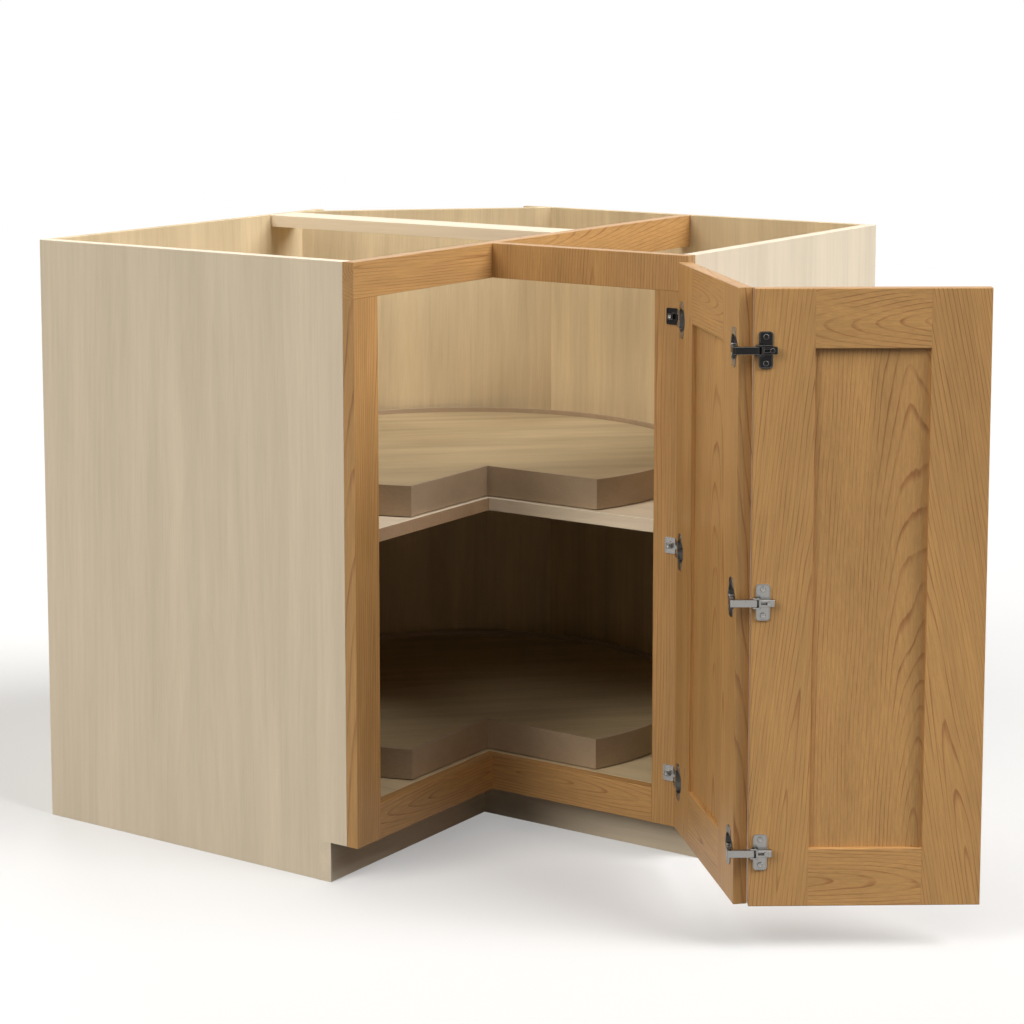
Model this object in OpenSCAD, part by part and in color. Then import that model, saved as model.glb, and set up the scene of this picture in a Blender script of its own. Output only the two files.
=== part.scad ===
// A corner base cabinet: an L-shaped carcass that stands along two walls, two
// turning trays with a square notch at the room side, and a folding pair of
// frame-and-panel doors.
//
// Millimetres, +Z up. The origin is the corner of the room at floor level. The
// back wall is the plane y = 0 and the left wall is x = 0, so that the left leg
// of the L runs along -Y and the right leg along +X. Pieces that repeat from leg
// to leg are drawn for the left leg and mirrored across the diagonal.
//
// The doors are drawn shut and then swung open to where they rest. The hinges
// are drawn in door space: u runs from the hinged end of the first door towards
// its free end, v runs outwards from its inner face, and z starts at its foot.

/* [Cabinet] */
// Depth of each leg, face frame included
leg_d = 584.2; // [575:0.1:600]
// Width of each leg's front, from the inner corner to the cabinet's end
front_w = 330.2; // [315:0.1:365]
// Height of the cabinet without its worktop
cabinet_h = 876.3; // [850:0.1:920]
// Thickness of the end panels
end_t = 19.05; // [12:0.05:20]
// Thickness of the back panels and of the diagonal panel
back_t = 12.7; // [6:0.05:16]
// Length of back panel hidden behind the diagonal panel
back_tail = 40; // [20:1:80]
// Gap between the trays and the diagonal panel
diagonal_gap = 9.5; // [5:0.1:15]

/* [Toe space] */
// Height of the toe space under the face frame
toe_h = 57.15; // [50:0.05:80]
// Distance of the toe boards behind the face frame's front
toe_recess = 47.6; // [40:0.1:60]
// Thickness of the toe boards
toe_t = 19.05; // [12:0.05:20]

/* [Face frame] */
// Thickness of the face frame
frame_t = 19.05; // [16:0.05:20]
// Width of the two stiles
stile_w = 54; // [50:0.5:60]
// Height of the top rails
top_rail_h = 50.8; // [40:0.1:60]
// Height of the bottom rails
bottom_rail_h = 50.8; // [40:0.1:60]
// Width of the flat stretcher under the worktop
stretcher_w = 63.5; // [50:0.5:80]
// Thickness of the flat stretcher
stretcher_t = 19.05; // [12:0.05:20]
// Distance from the diagonal panel's end to the stretcher
stretcher_gap = 17.9; // [5:0.1:40]

/* [Shelves] */
// Thickness of the floor panel and of the middle shelf
shelf_t = 19.05; // [15:0.05:20]
// Height of the middle shelf's top face
shelf_z = 494.3; // [465:0.1:520]

/* [Trays] */
// Diameter of the trays
tray_d = 711.2; // [690:0.1:715]
// Distance of the trays' axis from each wall
tray_axis = 421; // [416:0.1:425]
// Distance of the notch's corner behind the face frame's front
notch_setback = 26.5; // [25:0.1:45]
// Thickness of a tray's panel
tray_t = 12.7; // [9:0.1:16]
// Thickness of the band around a tray
band_t = 5; // [3:0.1:8]
// Height of the band above the tray's panel
lip_h = 7; // [4:0.5:15]
// Gap between the band and the shelf under it
band_gap = 1.5; // [1:0.1:5]
// Thickness of the board between the tray and its swivel
board_t = 13.5; // [10:0.5:19]
// Diameter of that board
board_d = 310; // [300:1:340]

/* [Swivels] */
// Outer diameter of the races
race_d = 296; // [290:1:299]
// Width of the races
race_w = 21; // [16:0.5:26]
// Thickness of one race
race_t = 5.6; // [4.5:0.1:8]
// Gap between the two races
race_gap = 1.6; // [1.4:0.1:2.5]
// Diameter of the balls
ball_d = 6; // [5:0.1:7]
// Room around a ball in its groove
ball_play = 0.3; // [0.25:0.05:0.5]
// Number of balls in a swivel
ball_count = 24; // [12:1:36]
// Thickness of the cage that spaces the balls
cage_t = 0.8; // [0.5:0.1:0.8]
// Width of the cage
cage_w = 12; // [9:0.5:14]

/* [Doors] */
// Thickness of the doors
door_t = 19.05; // [16:0.05:20]
// Gap between the shut doors and the face frame
door_gap = 2; // [1.8:0.1:2.5]
// Distance of the doors' outer ends from the cabinet's ends
side_reveal = 6.35; // [4:0.05:10]
// Distance of the doors' foot above the toe space
foot_reveal = 5; // [3:0.5:12]
// Distance of the doors' top below the cabinet's top
head_reveal = 7.7; // [5:0.1:12]
// Width of the doors' stiles and rails
member_w = 77; // [60:1:85]
// Thickness of the doors' panels
panel_t = 6.35; // [5:0.05:8]
// Depth of the grooves that hold the panels
groove_depth = 9; // [6:0.5:12]
// Room around a panel's edge in its groove
panel_play = 1; // [0.5:0.1:2]
// Distance between the first door's end and the second door's inner face
fold_gap = 8; // [7:0.1:9]
// Distance between the first door's outer face and the second door's end
fold_step = 1.5; // [1.2:0.1:3]

/* [Pose] */
// Angle to which the first door stands open
door_swing_angle = 134.5; // [0:0.5:165]
// Angle beyond square between the doors, where they stand open
fold_spread_angle = 9.1; // [0:0.1:11]

/* [Hinges] */
// Height of the lowest hinges above the doors' foot
hinge_low = 73.3; // [65:0.1:110]
// Distance of the highest hinges below the doors' top
hinge_high = 78.1; // [65:0.1:110]
// Diameter of the hinge cups
cup_d = 35; // [34.6:0.1:35.6]
// Wall of the hinge cups
cup_wall = 1.3; // [0.8:0.1:1.4]
// Depth of the hinge cups
cup_depth = 11.3; // [10:0.1:13]
// Room around a cup in its bore
cup_play = 0.1; // [0.05:0.05:0.3]
// Thickness of a cup's flange
flange_t = 1.2; // [1:0.1:1.4]
// Height of a cup's flange
flange_h = 52; // [50:0.5:56]
// Width of a cup's flange
flange_w = 18; // [12:0.5:24]
// Distance between the two screws of a flange
flange_pitch = 44; // [43:0.5:45]
// Diameter of the flange screws' heads
flange_screw_d = 6; // [5:0.1:7]
// Diameter of the screws' shanks
shank_d = 3.4; // [3:0.1:4]
// Depth of the screws in the wood
screw_depth = 12; // [8:0.5:13]
// Distance between parts that turn past each other along a pin
side_play = 0.3; // [0.25:0.05:0.4]
// Room around a pin in the piece that turns on it
pin_play = 0.05; // [0.02:0.01:0.1]

/* [Frame hinges] */
// Distance of the hinge pin beyond the first door's end
swing_pin_out = 3.2; // [3:0.1:4]
// Distance of the hinge pin in front of the first door's inner face
swing_pin_v = 7.2; // [7:0.1:8]
// Diameter of the hinge pin
swing_pin_d = 2.5; // [2:0.1:3]
// Diameter of the knuckles on the pin
knuckle_d = 5.4; // [5:0.1:5.6]
// Height of the frame plate's knuckle
knuckle_h = 10; // [8:0.5:12]
// Height of the knuckles on both sides of it
outer_knuckle_h = 6.7; // [5:0.1:9]
// Distance of the cups from the first door's hinged end
swing_cup_u = 20.5; // [20:0.1:21]
// Distance of the frame plates from the same end, to their middle
plate_u = 19.05; // [18.5:0.05:20]
// Width of a frame plate
plate_w = 17; // [14:0.5:18]
// Height of a frame plate
plate_h = 23; // [20:0.5:24]
// Thickness of a frame plate
plate_t = 1.6; // [1.4:0.1:1.8]
// Thickness of the strip from the plate to its knuckle
strip_t = 1.4; // [1:0.1:1.4]
// Width of the boss that the door's cup closes over
boss_w = 8; // [6:0.5:9]
// Height of that boss above its plate
boss_h = 5; // [3:0.5:6]
// Diameter of the boss's screw head
boss_screw_d = 5.4; // [4.5:0.1:6]
// Height of the boss's screw head
boss_screw_h = 1.2; // [0.8:0.1:2]

/* [Folding hinges] */
// Distance of the cups from the first door's free end
fold_cup_in = 22; // [21.5:0.1:23]
// Distance of the cup's pin from the first door's free end
cup_pin_in = 8; // [7.5:0.1:8.5]
// Distance of the cup's pin from the first door's inner face
cup_pin_lift = 5; // [4.8:0.1:5.5]
// Distance of the arm's pin from the second door's end
arm_pin_in = 3.95; // [3.8:0.05:4.2]
// Distance of the arm's pin from the second door's inner face
arm_pin_lift = 6; // [5.8:0.1:6.5]
// Diameter of both pins
link_pin_d = 3; // [2.4:0.1:3.2]
// Width of the link between the pins
link_w = 6; // [5.4:0.1:6.2]
// Height of the link and of the arm
arm_h = 9.5; // [8:0.1:11]
// Thickness of the lugs and cheeks beside the link
lug_t = 2; // [1.5:0.1:3]
// Length of the arm from the second door's end
arm_len = 28.4; // [27:0.1:32]
// Thickness of the arm
arm_t = 6; // [5:0.1:6.4]
// Distance between the link's end and the bridge behind it
bridge_gap = 1.35; // [1:0.05:2]
// Width of the bridge that joins the arm's cheeks
bridge_w = 2.5; // [2:0.1:3]
// Length of the slot in the arm
slot_len = 7.6; // [5:0.1:8]
// Height of the slot in the arm
slot_h = 3.2; // [2:0.1:4]
// Distance of the slot's middle from the second door's end
slot_u = 15; // [14.8:0.1:15.2]
// Distance of the clamp screw from the second door's end
clamp_u = 21.7; // [21.5:0.1:21.8]
// Diameter of the clamp screw's head
clamp_head_d = 4.6; // [4:0.1:5]
// Height of the clamp screw's head
clamp_head_h = 1.4; // [1:0.1:2]
// Diameter of the clamp screw's shank
clamp_shank_d = 2.6; // [2:0.1:3]
// Distance of the mounting plate's middle from the second door's end
mount_u = 14.2; // [13.9:0.1:14.5]
// Width of the mounting plate
mount_w = 18.2; // [17.6:0.1:19]
// Height of the mounting plate
mount_h = 47.4; // [44:0.1:52]
// Thickness of the mounting plate's wings
mount_t = 2.2; // [1.6:0.1:2.2]
// Height of the saddle that carries the arm
saddle_h = 12; // [10:0.5:14]
// Thickness of the saddle on the plate's wings
saddle_t = 0.8; // [0.5:0.1:1.2]
// Cut at the mounting plate's corners
mount_chamfer = 4; // [2:0.5:6]
// Distance between the two screws of a mounting plate
mount_pitch = 34; // [32:0.5:36]
// Diameter of the mounting screws' heads
mount_screw_d = 6.4; // [5.5:0.1:7.5]
// Height of the mounting screws' heads
mount_screw_h = 1.3; // [1:0.1:2]

/* [Hidden] */

// Facets of small and of large round shapes
$fn = 48;
large_fn = 180;
// Length by which a cut runs past the face that it opens
over = 1;

// Length of each leg along its wall
leg_w = leg_d + front_w;
// Faces of the face frame, the end panels and the toe boards
frame_back = leg_d - frame_t;
end_face = leg_w - end_t;
toe_face = leg_d - toe_recess;
toe_back = toe_face - toe_t;
deck_z = toe_h + bottom_rail_h;
rail_z = cabinet_h - top_rail_h;

// The trays: their radius, and the notch's corner seen from their axis
tray_r = tray_d / 2;
notch = leg_d - notch_setback - tray_axis;
swivel_h = 2 * race_t + race_gap;
tray_z = swivel_h + board_t;
band_h = tray_z + tray_t + lip_h - band_gap;
race_r = race_d / 2;
ball_r = ball_d / 2;
ball_ring_r = race_r - race_w / 2;
ball_z = swivel_h / 2;

// The diagonal panel's two faces are lines x - y = constant
diagonal = 2 * tray_axis - sqrt(2) * (tray_r + diagonal_gap);
diagonal_rear = diagonal - sqrt(2) * back_t;

// The doors, shut
door_z = toe_h + foot_reveal;
door_h = cabinet_h - head_reveal - door_z;
door_1_w = front_w - side_reveal - door_gap - fold_gap;
door_2_w = front_w - side_reveal - door_gap - door_t - fold_step;
// Where the panels' grooves start in a door's thickness
groove_v = (door_t - panel_t) / 2;
hinge_z = [hinge_low, door_h / 2, door_h - hinge_high];
BOTTOM = 0;
MIDDLE = 1;
TOP = 2;

// Hinge pins in door space
swing_pin = [-swing_pin_out, swing_pin_v];
cup_pin = [door_1_w - cup_pin_in, -cup_pin_lift];
arm_pin = [door_1_w + fold_gap + arm_pin_lift, door_t + fold_step + arm_pin_in];
fold_cup_u = door_1_w - fold_cup_in;
cup_r = cup_d / 2;
cup_bore_r = cup_r - cup_wall;
knuckle_r = knuckle_d / 2;
link_r = link_w / 2;
cheek_r = arm_pin_lift - mount_t - side_play;
lug_z = arm_h / 2 + side_play;
// The arm's pin, the saddle's top and the bridge's two ends, seen from the second door
own_arm_pin = [arm_pin_in, -arm_pin_lift];
saddle_v = -mount_t - saddle_t;
bridge_u = arm_pin_in + link_r + bridge_gap;
bridge_end = bridge_u + bridge_w;

// Colours
MAPLE = "#dccfb4";
MAPLE_INSIDE = "#b9a27b";
OAK = "#b4854f";
OAK_DOOR = "#b08352";
TRAY = "#b79d76";
TRAY_EDGE = "#85705a";
NICKEL = "#b9b6b0";
BLACK_STEEL = "#2c2b2a";
RACE_STEEL = "#9a9c9e";

// ---- Helpers ----

// A box between two opposite corners
module slab(from, to) {
    translate(from) cube(to - from);
}

// A piece of the left leg, mirrored to the right leg
module right_leg() {
    mirror([1, 1, 0]) children();
}

// A turn about the upright line through a point in plan
module turn_about(centre, angle) {
    translate([centre.x, centre.y, 0])
        rotate([0, 0, angle])
            translate([-centre.x, -centre.y, 0]) children();
}

// An upright cylinder, centred on a point in plan and on a height
module upright(centre, radius, height) {
    translate([centre.x, centre.y, -height / 2]) cylinder(r = radius, h = height);
}

// A cylinder that runs along +v from a point in door space
module bore(u, v, z, radius, length) {
    translate([u, v, z]) rotate([-90, 0, 0]) cylinder(r = radius, h = length);
}

// Two copies, above and below the middle
module above_and_below() {
    children();
    mirror([0, 0, 1]) children();
}

// One copy at each hinge height
module at_hinges() {
    for (z = hinge_z) translate([0, 0, z]) children();
}

// ---- Spaces ----

// Door space, with the doors shut
module door_space() {
    translate([leg_w - side_reveal, -leg_d - door_gap, door_z])
        rotate([0, 0, 180]) children();
}

// Where the first door rests
module door_1_place() {
    door_space() turn_about(swing_pin, door_swing_angle) children();
}

// Where the links rest, turned about the cups' pins with the second door
module link_place() {
    door_1_place() turn_about(cup_pin, -fold_spread_angle) children();
}

// Where the second door rests, with u from its own hinged end
module door_2_place() {
    link_place()
        translate([door_1_w + fold_gap, door_t + fold_step, 0])
            rotate([0, 0, 90]) children();
}

// The axis of the trays, at the top of the floor panel or of the middle shelf
module tray_place(z) {
    translate([tray_axis, -tray_axis, z]) children();
}

// ---- Carcass ----

module end_panel() {
    color(MAPLE) difference() {
        slab([0, -leg_w, 0], [frame_back, -end_face, cabinet_h]);
        slab([toe_back, -leg_w - over, -over], [frame_back + over, -end_face + over, toe_h]);
    }
}

module back_panel() {
    color(MAPLE_INSIDE)
        slab([0, -end_face, 0], [back_t, back_t - diagonal_rear + back_tail, cabinet_h]);
}

module diagonal_back_panel() {
    color(MAPLE_INSIDE) linear_extrude(cabinet_h) polygon([
        [back_t, back_t - diagonal],
        [diagonal - back_t, -back_t],
        [diagonal_rear - back_t, -back_t],
        [back_t, back_t - diagonal_rear]
    ]);
}

// The floor panel and the middle shelf share one outline
module shelf(top) {
    color(MAPLE) translate([0, 0, top - shelf_t]) linear_extrude(shelf_t) polygon([
        [back_t, -end_face],
        [frame_back, -end_face],
        [frame_back, -frame_back],
        [end_face, -frame_back],
        [end_face, -back_t],
        [diagonal - back_t, -back_t],
        [back_t, back_t - diagonal]
    ]);
}

module top_stretcher() {
    rear = back_t - diagonal - stretcher_gap;
    color(MAPLE)
        slab([back_t, rear - stretcher_w, cabinet_h - stretcher_t], [frame_back, rear, cabinet_h]);
}

module top_brace() {
    color(OAK) slab([frame_back, -frame_back, rail_z], [leg_d, -back_t, cabinet_h]);
}

// Toe board from a distance near the inner corner to the end panel's outer face
module toe_board(start) {
    color(MAPLE) union() {
        slab([toe_back, -end_face, 0], [toe_face, -start, deck_z - shelf_t]);
        slab([toe_back, -leg_w, 0], [toe_face, -end_face, toe_h]);
    }
}

// ---- Face frame ----

module stile() {
    color(OAK) slab([frame_back, -leg_w, toe_h], [leg_d, stile_w - leg_w, rail_z]);
}

// The right stile is bored for the screws of the frame plates
module right_stile() {
    color(OAK) difference() {
        right_leg() stile();
        door_space() at_hinges()
            bore(plate_u, -door_gap - screw_depth, 0, shank_d / 2, screw_depth + over);
    }
}

module top_rail(start) {
    color(OAK) slab([frame_back, -leg_w, rail_z], [leg_d, -start, cabinet_h]);
}

module bottom_rail(start) {
    color(OAK) slab([frame_back, stile_w - leg_w, toe_h], [leg_d, -start, deck_z]);
}

// ---- Swivels ----

module ring(outer, inner, height) {
    difference() {
        cylinder(r = outer, h = height, $fn = large_fn);
        translate([0, 0, -over]) cylinder(r = inner, h = height + 2 * over, $fn = large_fn);
    }
}

module ball_groove() {
    translate([0, 0, ball_z])
        rotate_extrude($fn = large_fn) translate([ball_ring_r, 0]) circle(r = ball_r + ball_play);
}

// A race lies flat on what carries it, with half of the balls' groove in it
module race(foot) {
    color(RACE_STEEL) difference() {
        translate([0, 0, foot]) ring(race_r, race_r - race_w, race_t);
        ball_groove();
    }
}

module fixed_race() {
    race(0);
}

module turning_race() {
    race(race_t + race_gap);
}

module at_balls() {
    for (i = [0 : ball_count - 1])
        rotate([0, 0, i * 360 / ball_count]) translate([ball_ring_r, 0, ball_z]) children();
}

module balls() {
    color(RACE_STEEL) at_balls() sphere(r = ball_r);
}

module ball_cage() {
    color(RACE_STEEL) difference() {
        translate([0, 0, ball_z - cage_t / 2])
            ring(ball_ring_r + cage_w / 2, ball_ring_r - cage_w / 2, cage_t);
        at_balls() translate([0, 0, -cage_t]) cylinder(r = ball_r, h = 2 * cage_t);
    }
}

// ---- Trays ----

// A disc without its notch, drawn in from the tray's outline by an inset
module tray_outline(inset) {
    difference() {
        circle(r = tray_r - inset, $fn = large_fn);
        translate([notch - inset, inset - notch - tray_d]) square(tray_d);
    }
}

module tray_board() {
    color(TRAY) translate([0, 0, swivel_h]) cylinder(d = board_d, h = board_t, $fn = large_fn);
}

module tray_panel() {
    color(TRAY) translate([0, 0, tray_z]) linear_extrude(tray_t) tray_outline(band_t);
}

module tray_band() {
    color(TRAY_EDGE) translate([0, 0, band_gap]) linear_extrude(band_h) difference() {
        tray_outline(0);
        tray_outline(band_t);
    }
}

// ---- Doors ----

// A stile at the door's near end, grooved along its inner edge
module door_stile() {
    difference() {
        slab([0, 0, 0], [member_w, door_t, door_h]);
        slab([member_w - groove_depth, groove_v, -over],
             [member_w + over, groove_v + panel_t, door_h + over]);
    }
}

// The same stile at the door's far end
module far_stile(width) {
    translate([width, 0, 0]) mirror([1, 0, 0]) door_stile();
}

// The bottom rail, with its tongues in the stiles' grooves
module door_rail(width) {
    color(OAK_DOOR) difference() {
        union() {
            slab([member_w, 0, 0], [width - member_w, door_t, member_w]);
            slab([member_w - groove_depth, groove_v, 0],
                 [width - member_w + groove_depth, groove_v + panel_t, member_w - groove_depth]);
        }
        slab([0, groove_v, member_w - groove_depth],
             [width, groove_v + panel_t, member_w + over]);
    }
}

// The same rail at the top of the door
module top_door_rail(width) {
    translate([0, 0, door_h]) mirror([0, 0, 1]) door_rail(width);
}

module door_panel(width) {
    edge = member_w - groove_depth + panel_play;
    color(OAK_DOOR)
        slab([edge, groove_v, edge], [width - edge, groove_v + panel_t, door_h - edge]);
}

// What a row of cups takes out of a stile: their bores and their screws' holes
module cup_bores(u) {
    at_hinges() {
        bore(u, -over, 0, cup_r + cup_play, cup_depth + 2 * cup_play + over);
        above_and_below() bore(u, -over, flange_pitch / 2, shank_d / 2, screw_depth + over);
    }
}

module door_1_hinge_stile() {
    color(OAK_DOOR) difference() {
        door_stile();
        cup_bores(swing_cup_u);
    }
}

module door_1_fold_stile() {
    color(OAK_DOOR) difference() {
        far_stile(door_1_w);
        cup_bores(fold_cup_u);
    }
}

module door_2_fold_stile() {
    color(OAK_DOOR) difference() {
        door_stile();
        at_hinges() above_and_below()
            bore(mount_u, -over, mount_pitch / 2, shank_d / 2, screw_depth + over);
    }
}

module door_2_free_stile() {
    color(OAK_DOOR) far_stile(door_2_w);
}

// ---- Frame hinges ----

// The plate on the right stile, with its boss, its strip and its knuckle
module frame_plate() {
    frame_v = -door_gap;
    difference() {
        union() {
            slab([plate_u - plate_w / 2, frame_v, -plate_h / 2],
                 [plate_u + plate_w / 2, frame_v + plate_t, plate_h / 2]);
            slab([plate_u - boss_w / 2, frame_v, -boss_w / 2],
                 [plate_u + boss_w / 2, frame_v + plate_t + boss_h, boss_w / 2]);
            slab([swing_pin.x, frame_v, -knuckle_h / 2],
                 [plate_u, frame_v + strip_t, knuckle_h / 2]);
            slab([swing_pin.x, frame_v, -knuckle_h / 2],
                 [swing_pin.x + knuckle_r, swing_pin.y, knuckle_h / 2]);
            upright(swing_pin, knuckle_r, knuckle_h);
        }
        upright(swing_pin, swing_pin_d / 2 + pin_play, knuckle_h + over);
        bore(plate_u, frame_v - over, 0, shank_d / 2, plate_t + boss_h + 2 * over);
    }
}

module frame_plate_screw() {
    top_v = plate_t + boss_h - door_gap;
    color(NICKEL) {
        bore(plate_u, -door_gap - screw_depth, 0, shank_d / 2, top_v + door_gap + screw_depth);
        bore(plate_u, top_v, 0, boss_screw_d / 2, boss_screw_h);
    }
}

// A cup and the flange that its two screws hold
module cup_body(u) {
    bore(u, 0, 0, cup_r, cup_depth);
    slab([u - flange_w / 2, -flange_t, -flange_h / 2], [u + flange_w / 2, 0, flange_h / 2]);
}

// What is open in a cup: its hollow and its screws' holes
module cup_hollow(u) {
    bore(u, -flange_t - over, 0, cup_bore_r, flange_t + over + cup_depth - cup_wall);
    above_and_below()
        bore(u, -flange_t - over, flange_pitch / 2, flange_screw_d / 2, flange_t + 2 * over);
}

// The cup at the hinged end: its flange wraps the end and carries two knuckles
module swing_cup() {
    slot_z = knuckle_h / 2 + side_play;
    color(NICKEL) difference() {
        union() {
            cup_body(swing_cup_u);
            above_and_below() {
                slab([swing_pin.x, -flange_t, slot_z], [swing_cup_u, 0, slot_z + outer_knuckle_h]);
                slab([swing_pin.x, -flange_t, slot_z],
                     [swing_pin.x + knuckle_r, swing_pin.y, slot_z + outer_knuckle_h]);
                translate([swing_pin.x, swing_pin.y, slot_z])
                    cylinder(r = knuckle_r, h = outer_knuckle_h);
            }
        }
        cup_hollow(swing_cup_u);
        upright(swing_pin, swing_pin_d / 2, 2 * (slot_z + outer_knuckle_h) + over);
    }
}

module swing_pin_piece() {
    color(NICKEL) upright(swing_pin, swing_pin_d / 2, knuckle_h + 2 * (side_play + outer_knuckle_h));
}

// The screws that hold a cup's flange, with their heads flush in it
module cup_screw_pair(u) {
    color(NICKEL) above_and_below() {
        bore(u, -flange_t, flange_pitch / 2, flange_screw_d / 2, flange_t);
        bore(u, -flange_t, flange_pitch / 2, shank_d / 2, flange_t + screw_depth);
    }
}

// ---- Folding hinges ----

// The cup at the free end: two lugs on its flange hold the link's first pin
module fold_cup() {
    tongue_z = lug_z + lug_t;
    color(NICKEL) difference() {
        union() {
            cup_body(fold_cup_u);
            slab([fold_cup_u, -flange_t, -tongue_z], [cup_pin.x + link_r, 0, tongue_z]);
            above_and_below() translate([0, 0, lug_z]) {
                slab([cup_pin.x - link_r, cup_pin.y, 0], [cup_pin.x + link_r, 0, lug_t]);
                translate([cup_pin.x, cup_pin.y, 0]) cylinder(r = link_r, h = lug_t);
            }
        }
        cup_hollow(fold_cup_u);
        upright(cup_pin, link_pin_d / 2, 2 * tongue_z + over);
    }
}

// The bent link from the first door's cup to the second door's arm
module fold_link() {
    corner = [arm_pin.x, cup_pin.y];
    color(NICKEL) difference() {
        union() {
            upright(cup_pin, link_r, arm_h);
            slab([cup_pin.x, corner.y - link_r, -arm_h / 2], [corner.x, corner.y + link_r, arm_h / 2]);
            upright(corner, link_r, arm_h);
            slab([corner.x - link_r, corner.y, -arm_h / 2], [corner.x + link_r, arm_pin.y, arm_h / 2]);
            upright(arm_pin, link_r, arm_h);
        }
        upright(cup_pin, link_pin_d / 2 + pin_play, arm_h + over);
        upright(arm_pin, link_pin_d / 2 + pin_play, arm_h + over);
    }
}

module link_pin(at) {
    color(NICKEL) upright(at, link_pin_d / 2, 2 * (lug_z + lug_t));
}

// The arm on the second door: two cheeks beside the link, a bridge and a bar
module fold_arm() {
    cheek_z = lug_z + lug_t;
    difference() {
        union() {
            above_and_below() translate([0, 0, lug_z]) {
                translate([own_arm_pin.x, own_arm_pin.y, 0]) cylinder(r = cheek_r, h = lug_t);
                slab([own_arm_pin.x, own_arm_pin.y - cheek_r, 0],
                     [bridge_end, own_arm_pin.y + cheek_r, lug_t]);
            }
            slab([bridge_u, own_arm_pin.y - cheek_r, -cheek_z],
                 [bridge_end, own_arm_pin.y + cheek_r, cheek_z]);
            slab([bridge_u, saddle_v - arm_t, -arm_h / 2], [arm_len, saddle_v, arm_h / 2]);
        }
        upright(own_arm_pin, link_pin_d / 2, 2 * cheek_z + over);
        slab([slot_u - slot_len / 2, saddle_v - arm_t - over, -slot_h / 2],
             [slot_u + slot_len / 2, saddle_v + over, slot_h / 2]);
        bore(clamp_u, saddle_v - arm_t - over, 0, clamp_shank_d / 2, arm_t + 2 * over);
    }
}

// The winged plate under the arm
module mounting_plate() {
    half_w = mount_w / 2;
    half_h = mount_h / 2;
    c = mount_chamfer;
    difference() {
        union() {
            translate([mount_u, 0, 0]) rotate([90, 0, 0]) linear_extrude(mount_t) polygon([
                [-half_w, c - half_h], [c - half_w, -half_h],
                [half_w - c, -half_h], [half_w, c - half_h],
                [half_w, half_h - c], [half_w - c, half_h],
                [c - half_w, half_h], [-half_w, half_h - c]
            ]);
            slab([bridge_end + side_play, saddle_v, -saddle_h / 2],
                 [mount_u + half_w, 0, saddle_h / 2]);
        }
        above_and_below() bore(mount_u, -mount_t - over, mount_pitch / 2, shank_d / 2,
                               mount_t + 2 * over);
        bore(clamp_u, saddle_v - over, 0, clamp_shank_d / 2, -saddle_v + 2 * over);
    }
}

module mounting_screw_pair() {
    color(NICKEL) above_and_below() {
        bore(mount_u, -mount_t - mount_screw_h, mount_pitch / 2, mount_screw_d / 2, mount_screw_h);
        bore(mount_u, -mount_t, mount_pitch / 2, shank_d / 2, mount_t + screw_depth);
    }
}

module clamp_screw() {
    color(NICKEL) {
        bore(clamp_u, saddle_v - arm_t, 0, clamp_shank_d / 2, arm_t - saddle_v);
        bore(clamp_u, saddle_v - arm_t - clamp_head_h, 0, clamp_head_d / 2, clamp_head_h);
    }
}

// ---- Nodes ----

// The top hinges are black, the others are nickel-plated
function hinge_color(i) = i == TOP ? BLACK_STEEL : NICKEL;

module frame_plate_at(i) {
    color(hinge_color(i)) door_space() translate([0, 0, hinge_z[i]]) frame_plate();
}

module fold_arm_at(i) {
    color(hinge_color(i)) door_2_place() translate([0, 0, hinge_z[i]]) fold_arm();
}

module mounting_plate_at(i) {
    color(hinge_color(i)) door_2_place() translate([0, 0, hinge_z[i]]) mounting_plate();
}

end_panel();  // left_end_panel
right_leg() end_panel();  // right_end_panel
back_panel();  // left_back_panel
right_leg() back_panel();  // right_back_panel
diagonal_back_panel();
shelf(deck_z);  // floor_panel
shelf(shelf_z);  // middle_shelf
top_stretcher();
top_brace();
toe_board(toe_back);  // left_toe_board
right_leg() toe_board(toe_face);  // right_toe_board
stile();  // left_stile
right_stile();
top_rail(frame_back);  // left_top_rail
right_leg() top_rail(leg_d);  // right_top_rail
bottom_rail(frame_back);  // left_bottom_rail
right_leg() bottom_rail(leg_d);  // right_bottom_rail
tray_place(deck_z) fixed_race();  // lower_fixed_race
tray_place(shelf_z) fixed_race();  // upper_fixed_race
tray_place(deck_z) ball_cage();  // lower_ball_cage
tray_place(shelf_z) ball_cage();  // upper_ball_cage
tray_place(deck_z) balls();  // lower_balls
tray_place(shelf_z) balls();  // upper_balls
tray_place(deck_z) turning_race();  // lower_turning_race
tray_place(shelf_z) turning_race();  // upper_turning_race
tray_place(deck_z) tray_board();  // lower_tray_board
tray_place(shelf_z) tray_board();  // upper_tray_board
tray_place(deck_z) tray_panel();  // lower_tray_panel
tray_place(shelf_z) tray_panel();  // upper_tray_panel
tray_place(deck_z) tray_band();  // lower_tray_band
tray_place(shelf_z) tray_band();  // upper_tray_band
frame_plate_at(BOTTOM);  // frame_plate_bottom
frame_plate_at(MIDDLE);  // frame_plate_middle
frame_plate_at(TOP);  // frame_plate_top
door_space() at_hinges() frame_plate_screw();  // frame_plate_screws
door_1_place() door_1_hinge_stile();
door_1_place() door_1_fold_stile();
door_1_place() top_door_rail(door_1_w);  // door_1_top_rail
door_1_place() door_rail(door_1_w);  // door_1_bottom_rail
door_1_place() door_panel(door_1_w);  // door_1_panel
door_1_place() at_hinges() swing_cup();  // swing_cups
door_1_place() at_hinges() swing_pin_piece();  // swing_pins
door_1_place() at_hinges() fold_cup();  // fold_cups
door_1_place() at_hinges() link_pin(cup_pin);  // cup_pins
door_1_place() at_hinges() for (u = [swing_cup_u, fold_cup_u]) cup_screw_pair(u);  // cup_screws
link_place() at_hinges() fold_link();  // fold_links
door_2_place() door_2_fold_stile();
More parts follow.
